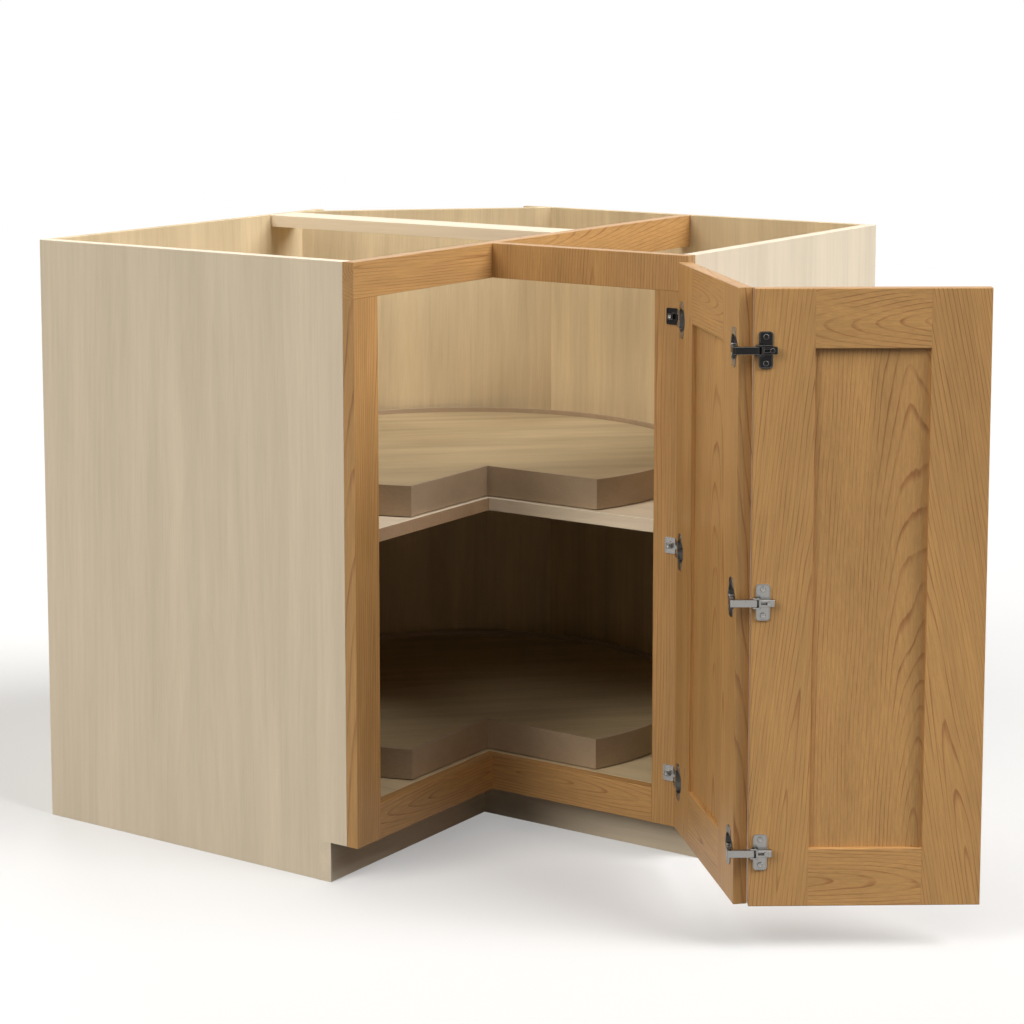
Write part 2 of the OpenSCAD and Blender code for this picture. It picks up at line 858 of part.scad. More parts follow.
door_2_place() door_2_free_stile();
door_2_place() top_door_rail(door_2_w);  // door_2_top_rail
door_2_place() door_rail(door_2_w);  // door_2_bottom_rail
door_2_place() door_panel(door_2_w);  // door_2_panel
fold_arm_at(BOTTOM);  // fold_arm_bottom
fold_arm_at(MIDDLE);  // fold_arm_middle
fold_arm_at(TOP);  // fold_arm_top
mounting_plate_at(BOTTOM);  // mounting_plate_bottom
mounting_plate_at(MIDDLE);  // mounting_plate_middle
mounting_plate_at(TOP);  // mounting_plate_top
door_2_place() at_hinges() mounting_screw_pair();  // mounting_screws
door_2_place() at_hinges() clamp_screw();  // clamp_screws
link_place() at_hinges() link_pin(arm_pin);  // arm_pins
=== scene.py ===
"""Dresses the corner cabinet: its carcass, face frame, turning trays, folding doors and hinges.

Sizes are in millimetres, and become metres where a mesh is made. The origin is the
corner of the room at floor level. The back wall is y = 0 and the left wall x = 0, so
the left leg runs along -Y, the right leg along +X, and +Z is up.

A door and its hinges are modelled in the door's own space: u runs from its hinged end
to its far end, v outwards from its inner face, and z up from its foot.
"""

import logging
import math
from collections.abc import Callable, Iterator, Sequence
from contextlib import contextmanager
from dataclasses import dataclass, field
from enum import Enum
from typing import ClassVar

import bmesh
import bpy
import numpy as np
from mathutils import Matrix, Vector


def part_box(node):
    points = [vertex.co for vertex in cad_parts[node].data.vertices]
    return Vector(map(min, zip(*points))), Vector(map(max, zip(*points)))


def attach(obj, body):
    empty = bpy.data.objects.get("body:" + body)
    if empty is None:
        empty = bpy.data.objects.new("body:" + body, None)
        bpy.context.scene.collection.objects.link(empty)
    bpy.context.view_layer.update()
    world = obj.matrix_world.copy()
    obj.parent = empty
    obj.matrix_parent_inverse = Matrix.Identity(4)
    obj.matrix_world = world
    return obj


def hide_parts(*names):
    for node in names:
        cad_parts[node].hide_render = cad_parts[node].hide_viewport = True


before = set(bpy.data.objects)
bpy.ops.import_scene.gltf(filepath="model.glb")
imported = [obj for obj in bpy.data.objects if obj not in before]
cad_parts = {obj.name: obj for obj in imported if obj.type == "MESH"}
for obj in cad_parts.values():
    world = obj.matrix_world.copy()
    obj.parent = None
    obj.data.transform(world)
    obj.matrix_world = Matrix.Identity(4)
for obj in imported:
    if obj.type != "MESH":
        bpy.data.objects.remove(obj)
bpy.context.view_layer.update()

MM = 0.001
SAME_WAY = 0.9  # the least cosine between two directions that count as one
SAME_PLACE = 0.1  # how far apart two places lie that count as one
FLAT = 0.9986  # the least cosine between a face and a flat that it is part of
SHARP = math.radians(35.0)  # the least angle between faces whose shared edge is eased
EASE = 0.25  # how far most edges are eased

EAST, NORTH, UP = (1.0, 0.0, 0.0), (0.0, 1.0, 0.0), (0.0, 0.0, 1.0)
WEST, SOUTH, DOWN = (-1.0, 0.0, 0.0), (0.0, -1.0, 0.0), (0.0, 0.0, -1.0)

Point = Sequence[float]
Colour = tuple[float, float, float]
Test = Callable[[Vector, Vector], bool]
log = logging.getLogger("cabinet")


def runs(way: Vector, axis: Point) -> bool:
    """Tells whether an edge runs along an axis, either way."""
    return abs(way.dot(axis)) > SAME_WAY


def looks(normal: Vector, axis: Point) -> bool:
    """Tells whether a face looks along an axis."""
    return normal.dot(axis) > SAME_WAY


def meets(a: float, b: float) -> bool:
    """Tells whether two places along one axis are the same."""
    return abs(a - b) < SAME_PLACE


# ---- The bench: shaping meshes with edit-mode operators ----


class Keep(Enum):
    """What a saw cut leaves of a workpiece."""

    BOTH = "both sides, with an edge between them"
    NEAR = "only the side that the cut's normal points away from"


@dataclass(frozen=True)
class Sawn:
    """How a board lies in the log that it was sawn from.

    The log's pith runs along the grain. These values place it under the show face, so
    that they decide where the growth rings cross the board.
    """

    across: float = 0.0
    depth: float = 60.0
    dip: float = 0.05
    skew: float = 0.0
    start: float = 0.0


class Workpiece:
    """One mesh on the bench. Its object stays at the origin, with its place in its mesh."""

    def __init__(self, name: str) -> None:
        """Takes over the object that an operator has just added."""
        self.obj = bpy.context.view_layer.objects.active
        self.obj.name = name
        self.obj.data.name = name
        bpy.ops.object.transform_apply(location=True, rotation=True, scale=True)

    # -- Starting shapes --

    @classmethod
    def block(cls, name: str, low: Point, high: Point) -> "Workpiece":
        """Starts a squared piece between two opposite corners."""
        low, high = Vector(low) * MM, Vector(high) * MM
        bpy.ops.object.select_all(action="DESELECT")
        bpy.ops.mesh.primitive_cube_add(size=1.0, location=(low + high) / 2, scale=high - low)
        return cls(name)

    @classmethod
    def plate(cls, name: str, low: Point, high: Point, z: float) -> "Workpiece":
        """Starts a flat rectangle at a height, to be cut to an outline and raised."""
        low, high = Vector((*low, z)) * MM, Vector((*high, z)) * MM
        size = high - low
        bpy.ops.object.select_all(action="DESELECT")
        bpy.ops.mesh.primitive_plane_add(size=1.0, location=(low + high) / 2)
        bpy.context.view_layer.objects.active.scale = (size.x, size.y, 1.0)
        return cls(name)

    @classmethod
    def disc(cls, name: str, centre: Point, radius: float, sides: int = 256) -> "Workpiece":
        """Starts a flat disc, to be cut to an outline and raised."""
        bpy.ops.object.select_all(action="DESELECT")
        bpy.ops.mesh.primitive_circle_add(
            vertices=sides, radius=radius * MM, fill_type="NGON", location=Vector(centre) * MM)
        return cls(name)

    @classmethod
    def filling(cls, name: str, node: str) -> "Workpiece":
        """Starts a squared piece that fills a CAD node's box."""
        return cls.block(name, *box_mm(node))

    @classmethod
    def rod(cls, name: str, foot: Point, along: Point, radius: float, length: float,
            sides: int = 32) -> "Workpiece":
        """Starts a round bar.

        Args:
            name: The piece's name.
            foot: The middle of its first end.
            along: The direction in which it runs.
            radius: Its radius.
            length: Its length.
            sides: Its number of sides.

        Returns:
            The workpiece.
        """
        axis = Vector(along).normalized()
        turn = axis.to_track_quat("Z", "Y").to_euler()
        bpy.ops.object.select_all(action="DESELECT")
        bpy.ops.mesh.primitive_cylinder_add(
            vertices=sides, radius=radius * MM, depth=length * MM,
            location=(Vector(foot) + axis * length / 2) * MM, rotation=turn)
        return cls(name)

    # -- Edit mode --

    def alone(self) -> None:
        """Leaves this object the only one selected, and active."""
        bpy.ops.object.select_all(action="DESELECT")
        self.obj.select_set(True)
        bpy.context.view_layer.objects.active = self.obj

    @contextmanager
    def editing(self, pick_by: str = "FACE") -> Iterator[None]:
        """Opens edit mode with everything selected, and closes it again."""
        self.alone()
        bpy.ops.object.mode_set(mode="EDIT")
        bpy.ops.mesh.select_mode(type=pick_by)
        bpy.ops.mesh.select_all(action="SELECT")
        yield
        bpy.ops.object.mode_set(mode="OBJECT")

    @staticmethod
    def choose(parts: Sequence, wanted: Sequence) -> None:
        """Deselects a mesh's faces or edges, and then selects the wanted ones."""
        for part in parts:
            part.select_set(False)
        for part in wanted:
            part.select_set(True)

    def pick(self, test: Test) -> None:
        """Selects the faces for which a test of centre and normal holds."""
        shape = bmesh.from_edit_mesh(self.obj.data)
        self.choose(shape.faces, [
            face for face in shape.faces if test(face.calc_center_median() / MM, face.normal)])
        bmesh.update_edit_mesh(self.obj.data)

    def pick_edges(self, test: Test) -> None:
        """Selects the edges for which a test of middle and direction holds."""
        shape = bmesh.from_edit_mesh(self.obj.data)
        wanted = []
        for edge in shape.edges:
            start, end = (v.co / MM for v in edge.verts)
            if test((start + end) / 2, (end - start).normalized()):
                wanted.append(edge)
        self.choose(shape.edges, wanted)
        bmesh.update_edit_mesh(self.obj.data)

    @staticmethod
    def extrude(move: Point) -> None:
        """Extrudes what is selected by a move in metres."""
        bpy.ops.mesh.extrude_region_move(TRANSFORM_OT_translate={"value": move})

    def saw(self, point: Point, normal: Point, keep: Keep = Keep.BOTH) -> "Workpiece":
        """Cuts along a plane.

        Args:
            point: A point that the plane goes through.
            normal: The direction that the plane looks.
            keep: What is left of the piece.

        Returns:
            The workpiece.
        """
        with self.editing():
            bpy.ops.mesh.bisect(
                plane_co=Vector(point) * MM, plane_no=Vector(normal),
                use_fill=False, clear_outer=keep is Keep.NEAR)
        return self

    def drop(self, test: Test) -> "Workpiece":
        """Deletes the faces for which a test holds, and joins what is left into one face."""
        with self.editing():
            self.pick(test)
            bpy.ops.mesh.delete(type="FACE")
            bpy.ops.mesh.select_all(action="SELECT")
            bpy.ops.mesh.dissolve_faces()
        return self

    def raise_up(self, height: float) -> "Workpiece":
        """Gives a flat outline its thickness, upwards."""
        with self.editing():
            self.extrude((0.0, 0.0, height * MM))
            bpy.ops.mesh.select_all(action="SELECT")
            bpy.ops.mesh.normals_make_consistent(inside=False)
        return self

    def push(self, test: Test, move: Point) -> "Workpiece":
        """Extrudes the faces for which a test holds."""
        with self.editing():
            self.pick(test)
            self.extrude(Vector(move) * MM)
        return self

    def recess(self, test: Test, rim: float, move: Point) -> "Workpiece":
        """Sinks the faces for which a test holds, within a rim.

        Args:
            test: Whether a face, by its centre and normal, is sunk.
            rim: The rim's width.
            move: The way that the middle moves.

        Returns:
            The workpiece.
        """
        with self.editing():
            self.pick(test)
            bpy.ops.mesh.inset(thickness=rim * MM, depth=0.0)
            self.extrude(Vector(move) * MM)
        return self

    def arris(self, test: Test, width: float, segments: int = 3) -> "Workpiece":
        """Rounds over the edges for which a test holds.

        Args:
            test: Whether an edge, by its middle and direction, is rounded.
            width: How far the round reaches.
            segments: Its number of strips.

        Returns:
            The workpiece.
        """
        with self.editing("EDGE"):
            self.pick_edges(test)
            bpy.ops.mesh.bevel(offset=width * MM, segments=segments, affect="EDGES",
                               clamp_overlap=True)
        return self

    # -- Whole pieces --

    def cut_away(self, *tools: "Workpiece") -> "Workpiece":
        """Takes other pieces' solids out of this one, and throws those pieces away."""
        for tool in tools:
            self.alone()
            taken = self.obj.modifiers.new("taken_away", "BOOLEAN")
            taken.object = tool.obj
            bpy.ops.object.modifier_apply(modifier=taken.name)
            bpy.data.objects.remove(tool.obj, do_unlink=True)
        return self

    def soften(self, width: float = EASE, segments: int = 2) -> "Workpiece":
        """Rounds every sharp edge, marks the rounded faces and keeps the flats flat."""
        before = self.normals()
        self.alone()
        rounding = self.obj.modifiers.new("rounding", "BEVEL")
        rounding.width = width * MM
        rounding.segments = segments
        rounding.angle_limit = SHARP
        bpy.ops.object.modifier_apply(modifier=rounding.name)
        self.mark_rounded(before)
        return self.weigh_normals()

    def weigh_normals(self) -> "Workpiece":
        """Shades the piece smooth, with the large faces kept flat."""
        self.alone()
        bpy.ops.object.shade_smooth()
        weighted = self.obj.modifiers.new("weighted", "WEIGHTED_NORMAL")
        bpy.ops.object.modifier_apply(modifier=weighted.name)
        return self

    def normals(self) -> np.ndarray:
        """Gives every face's normal."""
        found = np.empty(len(self.obj.data.polygons) * 3, dtype=np.float32)
        self.obj.data.polygons.foreach_get("normal", found)
        return found.reshape(-1, 3)

    def mark_rounded(self, flats: np.ndarray) -> None:
        """Writes 1 on each face that lies along none of the given normals."""
        rounded = (self.normals() @ flats.T).max(axis=1) < FLAT
        marks = self.obj.data.attributes
        mark = marks.get("rounded") or marks.new("rounded", "FLOAT", "FACE")
        mark.data.foreach_set("value", rounded.astype(np.float32))

    def join(self, *others: "Workpiece") -> "Workpiece":
        """Makes this piece and others one object."""
        self.alone()
        for other in others:
            other.obj.select_set(True)
        bpy.ops.object.join()
        return self

    def twin(self, name: str) -> "Workpiece":
        """Copies the piece, with its own mesh."""
        self.alone()
        bpy.ops.object.duplicate(linked=False)
        return Workpiece(name)

    def place(self, matrix: Matrix) -> "Workpiece":
        """Moves the mesh by a matrix, and leaves the object at the origin."""
        self.alone()
        self.obj.matrix_world = matrix
        bpy.ops.object.transform_apply(location=True, rotation=True, scale=True)
        return self

    def lay_grain(self, along: Point, face: Point, sawn: Sawn) -> "Workpiece":
        """Stores each point's place in the log that the board was sawn from.

        Args:
            along: The direction of the grain.
            face: The direction that the show face looks.
            sawn: Where the log's pith lies under that face.

        Returns:
            The workpiece.
        """
        points = np.empty(len(self.obj.data.vertices) * 3, dtype=np.float32)
        self.obj.data.vertices.foreach_get("co", points)
        points = points.reshape(-1, 3) / MM
        points = points - (points.min(axis=0) + points.max(axis=0)) / 2
        along, face = Vector(along).normalized(), Vector(face).normalized()
        x, y, z = (points @ np.array(axis) for axis in (along, face.cross(along), face))
        grain = np.stack([x + sawn.start, y + sawn.across + sawn.skew * x,
                          z - sawn.depth - sawn.dip * x], axis=1) * MM
        stored = self.obj.data.attributes.new("grain", "FLOAT_VECTOR", "POINT")
        stored.data.foreach_set("vector", grain.astype(np.float32).ravel())
        return self

    def dress(self, body: str, finish: "Finish", *nodes: str) -> "Workpiece":
        """Gives the piece its finish, its body and the CAD nodes that it stands for."""
        self.obj.data.materials.clear()
        self.obj.data.materials.append(finish.material())
        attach(self.obj, body)
        if nodes:
            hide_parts(*nodes)
        log.info("%s: %d faces, rides on %s", self.obj.name, len(self.obj.data.polygons), body)
        return self

    def face_with(self, finish: "Finish", test: Test) -> None:
        """Gives the faces for which a test holds a finish of their own."""
        self.obj.data.materials.append(finish.material())
        for face in self.obj.data.polygons:
            if test(face.center / MM, face.normal):
                face.material_index = 1


def box_mm(node: str) -> tuple[Vector, Vector]:
    """Gives a CAD node's lowest and highest corners in millimetres."""
    low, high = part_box(node)
    return Vector(low) / MM, Vector(high) / MM


def turn_about(centre: Point, degrees: float) -> Matrix:
    """Gives a turn about the upright line through a point in plan, in metres."""
    there = Matrix.Translation(Vector((centre[0], centre[1], 0.0)) * MM)
    return there @ Matrix.Rotation(math.radians(degrees), 4, "Z") @ there.inverted()


def shift(x: float, y: float, z: float) -> Matrix:
    """Gives a move by millimetres, in metres."""
    return Matrix.Translation(Vector((x, y, z)) * MM)


# ---- Finishes: shader groups and materials ----


class Graph:
    """Lays nodes in one shader tree and links them."""

    def __init__(self, tree: bpy.types.NodeTree) -> None:
        """Starts on an empty tree."""
        self.tree = tree
        tree.nodes.clear()

    def add(self, kind: str, inputs: dict | None = None, **settings) -> bpy.types.Node:
        """Adds a node.

        Args:
            kind: The node's type, without its ShaderNode prefix.
            inputs: Values or sockets for its inputs, by name or number.
            settings: Properties to set before the inputs.

        Returns:
            The node.
        """
        node = self.tree.nodes.new(kind if kind.startswith("Node") else "ShaderNode" + kind)
        for name, value in settings.items():
            setattr(node, name, value)
        for name, value in (inputs or {}).items():
            if isinstance(value, bpy.types.NodeSocket):
                self.tree.links.new(value, node.inputs[name])
            else:
                node.inputs[name].default_value = value
        return node

    def math(self, operation: str, a, b=0.0, clamp: bool = False) -> bpy.types.NodeSocket:
        """Adds a sum on one or two values."""
        return self.add("Math", {0: a, 1: b}, operation=operation, use_clamp=clamp).outputs[0]

    def vector_math(self, operation: str, a, b=(0.0, 0.0, 0.0)) -> bpy.types.NodeSocket:
        """Adds a sum on one or two vectors."""
        return self.add("VectorMath", {0: a, 1: b}, operation=operation).outputs[0]

    def scaled(self, vector, by) -> bpy.types.NodeSocket:
        """Lengthens a vector."""
        return self.add("VectorMath", {0: vector, "Scale": by}, operation="SCALE").outputs[0]

    def grey(self, level) -> bpy.types.NodeSocket:
        """Makes the grey of a level."""
        return self.add("CombineXYZ", {0: level, 1: level, 2: level}).outputs[0]

    def edge(self) -> bpy.types.NodeSocket:
        """Gives 1 on the faces that were rounded, which get a painted highlight or reflection.
        """
        return self.add("Attribute", attribute_name="rounded").outputs["Fac"]

    def bump(self, strength: float, distance: float, height) -> bpy.types.NodeSocket:
        """Tilts the surface by a height."""
        return self.add("Bump", {"Strength": strength, "Distance": distance,
                                 "Height": height}).outputs[0]

    def remap(self, value, low, high, to_low: float = 0.0, to_high: float = 1.0,
              smooth: bool = False) -> bpy.types.NodeSocket:
        """Maps a value from the range low to high to another, and keeps it there."""
        return self.add(
            "MapRange", {"Value": value, "From Min": low, "From Max": high,
                         "To Min": to_low, "To Max": to_high},
            interpolation_type="SMOOTHSTEP" if smooth else "LINEAR", clamp=True).outputs[0]

    def noise(self, vector, stretch: Point, detail: float = 2.0,
              roughness: float = 0.5) -> bpy.types.Node:
        """Adds noise whose scale differs along the three directions."""
        return self.add("TexNoise", {
            "Vector": self.vector_math("MULTIPLY", vector, tuple(stretch)), "Scale": 1.0,
            "Detail": detail, "Roughness": roughness}, noise_dimensions="3D")

    def blend(self, factor, a, b, how: str = "MIX") -> bpy.types.NodeSocket:
        """Mixes two colours."""
        return self.add("Mix", {0: factor, 6: a, 7: b}, data_type="RGBA",
                        blend_type=how).outputs[2]


class ShaderGroups:
    """The effects that more than one finish uses, each built once."""

    _made: dict[str, bpy.types.NodeTree] = {}

    @classmethod
    def get(cls, name: str) -> bpy.types.NodeTree:
        """Gives a group by name, and builds it the first time."""
        if name not in cls._made:
            cls._made[name] = getattr(cls, name)()
        return cls._made[name]

    @staticmethod
    def _start(name: str, inputs: dict[str, str], outputs: Sequence[str]) -> Graph:
        """Makes a group's tree with its sockets."""
        tree = bpy.data.node_groups.new(name, "ShaderNodeTree")
        for socket, kind in inputs.items():
            tree.interface.new_socket(socket, in_out="INPUT", socket_type="NodeSocket" + kind)
        for socket in outputs:
            tree.interface.new_socket(socket, in_out="OUTPUT", socket_type="NodeSocketFloat")
        return Graph(tree)

    @classmethod
    def timber(cls) -> bpy.types.NodeTree:
        """Growth rings, fibres, pores and slow changes of tone, from a place in the log."""
        line_end, ripple_share = 0.93, 0.09
        graph = cls._start(
            "timber", {"Log": "Vector", "Ring Width": "Float", "Wander": "Float",
                       "Line Start": "Float"},
            ("Rings", "Fibre", "Pores", "Tone"))
        given = graph.add("NodeGroupInput").outputs
        place, wander = given["Log"], given["Wander"]
        # Changes in a metre along and across the grain, then detail and roughness.
        slow, quick, fibre, pores, tone = (
            graph.noise(place, (along, across, across), detail, roughness)
            for along, across, detail, roughness in (
                (1.6, 9.0, 2.0, 0.5), (9.0, 55.0, 3.0, 0.5), (9.0, 420.0, 4.0, 0.62),
                (70.0, 2300.0, 1.0, 0.5), (1.4, 26.0, 3.0, 0.5)))
        moved = place
        for noise, reach in ((slow, wander), (quick, graph.math(
                "MULTIPLY", wander, ripple_share))):
            drift = graph.vector_math("SUBTRACT", noise.outputs["Color"], (0.5, 0.5, 0.5))
            moved = graph.vector_math("ADD", moved, graph.scaled(drift, reach))
        squares = [graph.math("MULTIPLY", part, part)
                   for part in graph.add("SeparateXYZ", {0: moved}).outputs[1:]]
        from_pith = graph.math("SQRT", graph.math("ADD", *squares))
        season = graph.math("FRACT", graph.math("DIVIDE", from_pith, given["Ring Width"]))
        rise = graph.remap(season, given["Line Start"], line_end, smooth=True)
        fall = graph.remap(season, line_end, 1.0, 1.0, 0.0, smooth=True)
        strength = graph.remap(quick.outputs[0], 0.38, 0.62, 0.25)
        graph.add("NodeGroupOutput", {
            "Rings": graph.math("MULTIPLY", graph.math("MULTIPLY", rise, fall), strength),
            "Fibre": fibre.outputs[0],
            "Pores": graph.remap(pores.outputs[0], 0.60, 0.70, smooth=True),
            "Tone": tone.outputs[0]})
        return graph.tree

    @classmethod
    def handling(cls) -> bpy.types.NodeTree:
        """Faint smudges and fine scratches, from a place in the room."""
        graph = cls._start("handling", {"Place": "Vector", "Size": "Float"},
                           ("Smudge", "Scratch"))
        given = graph.add("NodeGroupInput").outputs
        place = graph.scaled(given["Place"], given["Size"])
        smudge = graph.noise(place, (1.0, 1.0, 1.0), detail=3.0, roughness=0.6)
        lines = graph.noise(place, (4.0, 90.0, 30.0))
        graph.add("NodeGroupOutput", {
            "Smudge": smudge.outputs[0],
            "Scratch": graph.remap(lines.outputs[0], 0.62, 0.72, smooth=True)})
        return graph.tree


def from_screen(red: int, green: int, blue: int) -> tuple[float, float, float, float]:
    """Turns a colour as a screen shows it into the light that it stands for."""
    def linear(value: int) -> float:
        """Undoes the screen's curve for one part."""
        part = value / 255
        return part / 12.92 if part <= 0.04045 else ((part + 0.055) / 1.055) ** 2.4
    return linear(red), linear(green), linear(blue), 1.0


@dataclass(frozen=True)
class Finish:
    """What every finish has: its name and the record's slot that it belongs to."""

    name: str
    slot: str
    _made: ClassVar[dict[str, bpy.types.Material]] = {}

    def material(self) -> bpy.types.Material:
        """Gives the finish's material, and makes it the first time."""
        if self.name not in self._made:
            made = bpy.data.materials.new(self.name)
            made.use_nodes = True
            graph = Graph(made.node_tree)
            shader = graph.add("BsdfPrincipled", self.shade(graph))
            graph.add("OutputMaterial", {"Surface": shader.outputs[0]})
            self._made[self.name] = made
        return self._made[self.name]

    def shade(self, graph: Graph) -> dict:
        """Gives the shader's inputs. Each kind of finish does it in its own way."""
        raise NotImplementedError


@dataclass(frozen=True)
class TimberFinish(Finish):
    """Varnished or veneered wood, whose figure comes from the log."""

    pale: Colour
    dark: Colour
    ring_width: float
    wander: float
    line_start: float = 0.68
    ring_share: float = 0.8
    fibre_share: float = 0.12
    pore_share: float = 0.2
    pore_depth: float = 0.6
    tone_share: float = 0.09
    edge_highlight: float = 0.3
    highlight_gain: float = 1.5
    highlight_lift: float = 0.05
    roughness: float = 0.5
    coat: float = 0.0
    coat_roughness: float = 0.25
    specular: float = 0.25
    bump: float = 0.05
    bump_height: float = 0.0004

    def shade(self, graph: Graph) -> dict:
        """Colours the wood by its rings, fibres and pores, with a painted edge highlight."""
        place = graph.add("Attribute", attribute_name="grain").outputs["Vector"]
        rings, fibre, pores, tone = graph.add("Group", {
            "Log": place, "Ring Width": self.ring_width * MM, "Wander": self.wander * MM,
            "Line Start": self.line_start}, node_tree=ShaderGroups.get("timber")).outputs
        pale, dark = from_screen(*self.pale), from_screen(*self.dark)
        colour = graph.blend(graph.math("MULTIPLY", rings, self.ring_share), pale, dark)
        for value, share in ((fibre, self.fibre_share), (tone, self.tone_share)):
            level = graph.remap(value, 0.33, 0.67, 1.0 - share, 1.0 + share)
            colour = graph.blend(1.0, colour, graph.grey(level), "MULTIPLY")
        colour = graph.blend(graph.math("MULTIPLY", pores, self.pore_share), colour, dark)
        # The rounded edges get a painted highlight: a paler copy of the wood's pale colour.
        light = tuple(min(1.0, c * self.highlight_gain + self.highlight_lift) for c in pale[:3])
        share = graph.math("MULTIPLY", graph.edge(), self.edge_highlight)
        height = graph.math("SUBTRACT", fibre, graph.math("MULTIPLY", pores, self.pore_depth))
        return {
            "Base Color": graph.blend(share, colour, (*light, 1.0)),
            "Roughness": graph.remap(
                fibre, 0.2, 0.8, self.roughness - 0.06, self.roughness + 0.08),
            "Coat Weight": self.coat,
            "Coat Roughness": self.coat_roughness,
            "Specular IOR Level": self.specular,
            "Normal": graph.bump(self.bump, self.bump_height, height)}


@dataclass(frozen=True)
class SteelFinish(Finish):
    """Plated steel with faint handling marks, and a painted reflection on its rounded edges."""

    base: Colour
    scratch_and_edge_reflection: Colour
    metallic: float = 1.0
    roughness: float = 0.28
    spread: float = 0.12
    scratch_share: float = 0.2
    edge_reflection_share: float = 0.6
    mark_size: float = 90.0
    bump: float = 0.08
    bump_height: float = 0.0001

    def shade(self, graph: Graph) -> dict:
        """Varies the steel's colour and gloss a little, with scratches and a painted edge
        reflection.
        """
        smudge, scratch = graph.add("Group", {
            "Place": graph.add("TexCoord").outputs["Object"], "Size": self.mark_size},
            node_tree=ShaderGroups.get("handling")).outputs
        # The second colour marks scratches, and on the rounded edges it is a painted
        # reflection.
        scratch_and_reflection_mask = graph.math("ADD", graph.math("MULTIPLY", scratch, self.scratch_share),
                          graph.math("MULTIPLY", graph.edge(), self.edge_reflection_share), clamp=True)
        return {
            "Base Color": graph.blend(scratch_and_reflection_mask, from_screen(*self.base), from_screen(*self.scratch_and_edge_reflection)),
            "Roughness": graph.remap(smudge, 0.3, 0.7, self.roughness - self.spread / 2,
                                     self.roughness + self.spread),
            "Metallic": self.metallic,
            "Normal": graph.bump(self.bump, self.bump_height, scratch)}


OAK_FRAME = TimberFinish(
    "frame_oak", "oak_frame", (188, 144, 89), (146, 97, 56), ring_width=4.4, wander=22.0,
    coat=0.3, edge_highlight=0.2, bump=0.12)
OAK_DOOR = TimberFinish(
    "door_oak", "oak_door", (188, 144, 89), (143, 92, 54), ring_width=4.9, wander=34.0,
    coat=0.25, edge_highlight=0.15, bump=0.12)
MAPLE = TimberFinish(
    "outer_maple", "maple_veneer", (234, 219, 195), (216, 198, 168), ring_width=11.0,
    wander=40.0, line_start=0.1, ring_share=0.18, fibre_share=0.03, pore_share=0.08,
    tone_share=0.06)
# A darker, warmer copy of the maple for the back, diagonal and floor boards: painted shade and
# bounced light.
MAPLE_SHADED = TimberFinish(
    "maple_painted_shade", "maple_interior", (212, 192, 156), (190, 164, 122), ring_width=13.0,
    wander=44.0, line_start=0.1, ring_share=0.2, fibre_share=0.045, pore_share=0.1,
    tone_share=0.1, roughness=0.52)
TRAY_WOOD = TimberFinish(
    "tray_veneer", "tray_wood", (177, 158, 124), (154, 131, 98), ring_width=9.0,
    wander=34.0, line_start=0.15, ring_share=0.4, fibre_share=0.1, pore_share=0.12,
    tone_share=0.12, edge_highlight=0.35, bump=0.06)
TRAY_EDGE = TimberFinish(
    "tray_banding", "tray_edge_band", (168, 147, 122), (148, 125, 100), ring_width=7.0,
    wander=24.0, line_start=0.15, ring_share=0.0, fibre_share=0.05, pore_share=0.1,
    tone_share=0.06, edge_highlight=0.6, roughness=0.45)
# A darker brown for the shelves' front edges on the left leg: painted shade under the frame.
SHELF_EDGE_SHADE = TimberFinish(
    "shelf_edge_painted_shade", "maple_veneer", (176, 148, 118), (150, 122, 94), ring_width=7.0,
    wander=24.0, ring_share=0.2, fibre_share=0.08, pore_share=0.1, tone_share=0.06,
    edge_highlight=0.0)
NICKEL = SteelFinish("nickel_plating", "nickel_steel", (152, 150, 147), (78, 76, 74))
# The top hinge's steel is painted dark as a dark reflection; its paler second colour is
# scratches and a painted edge highlight.
DARK_REFLECTION_STEEL = SteelFinish(
    "steel_painted_dark_reflection", "black_steel", (27, 26, 26), (150, 146, 142), metallic=0.75,
    roughness=0.32)
RACE_STEEL = SteelFinish(
    "race_plating", "bearing_steel", (160, 162, 164), (190, 190, 190), roughness=0.34)


# ---- Carcass and face frame ----


class Leg(Enum):
    """One of the cabinet's two legs, with the directions of its own end and front."""

    LEFT = ("left", SOUTH, EAST)
    RIGHT = ("right", EAST, SOUTH)

    def __init__(self, side: str, end: Point, front: Point) -> None:
        """Keeps the leg's name, and where its end and its front look."""
        self.side = side
        self.end = Vector(end)
        self.front = Vector(front)

    def node(self, name: str) -> str:
        """Gives the name of this leg's CAD node."""
        return f"{self.side}_{name}"


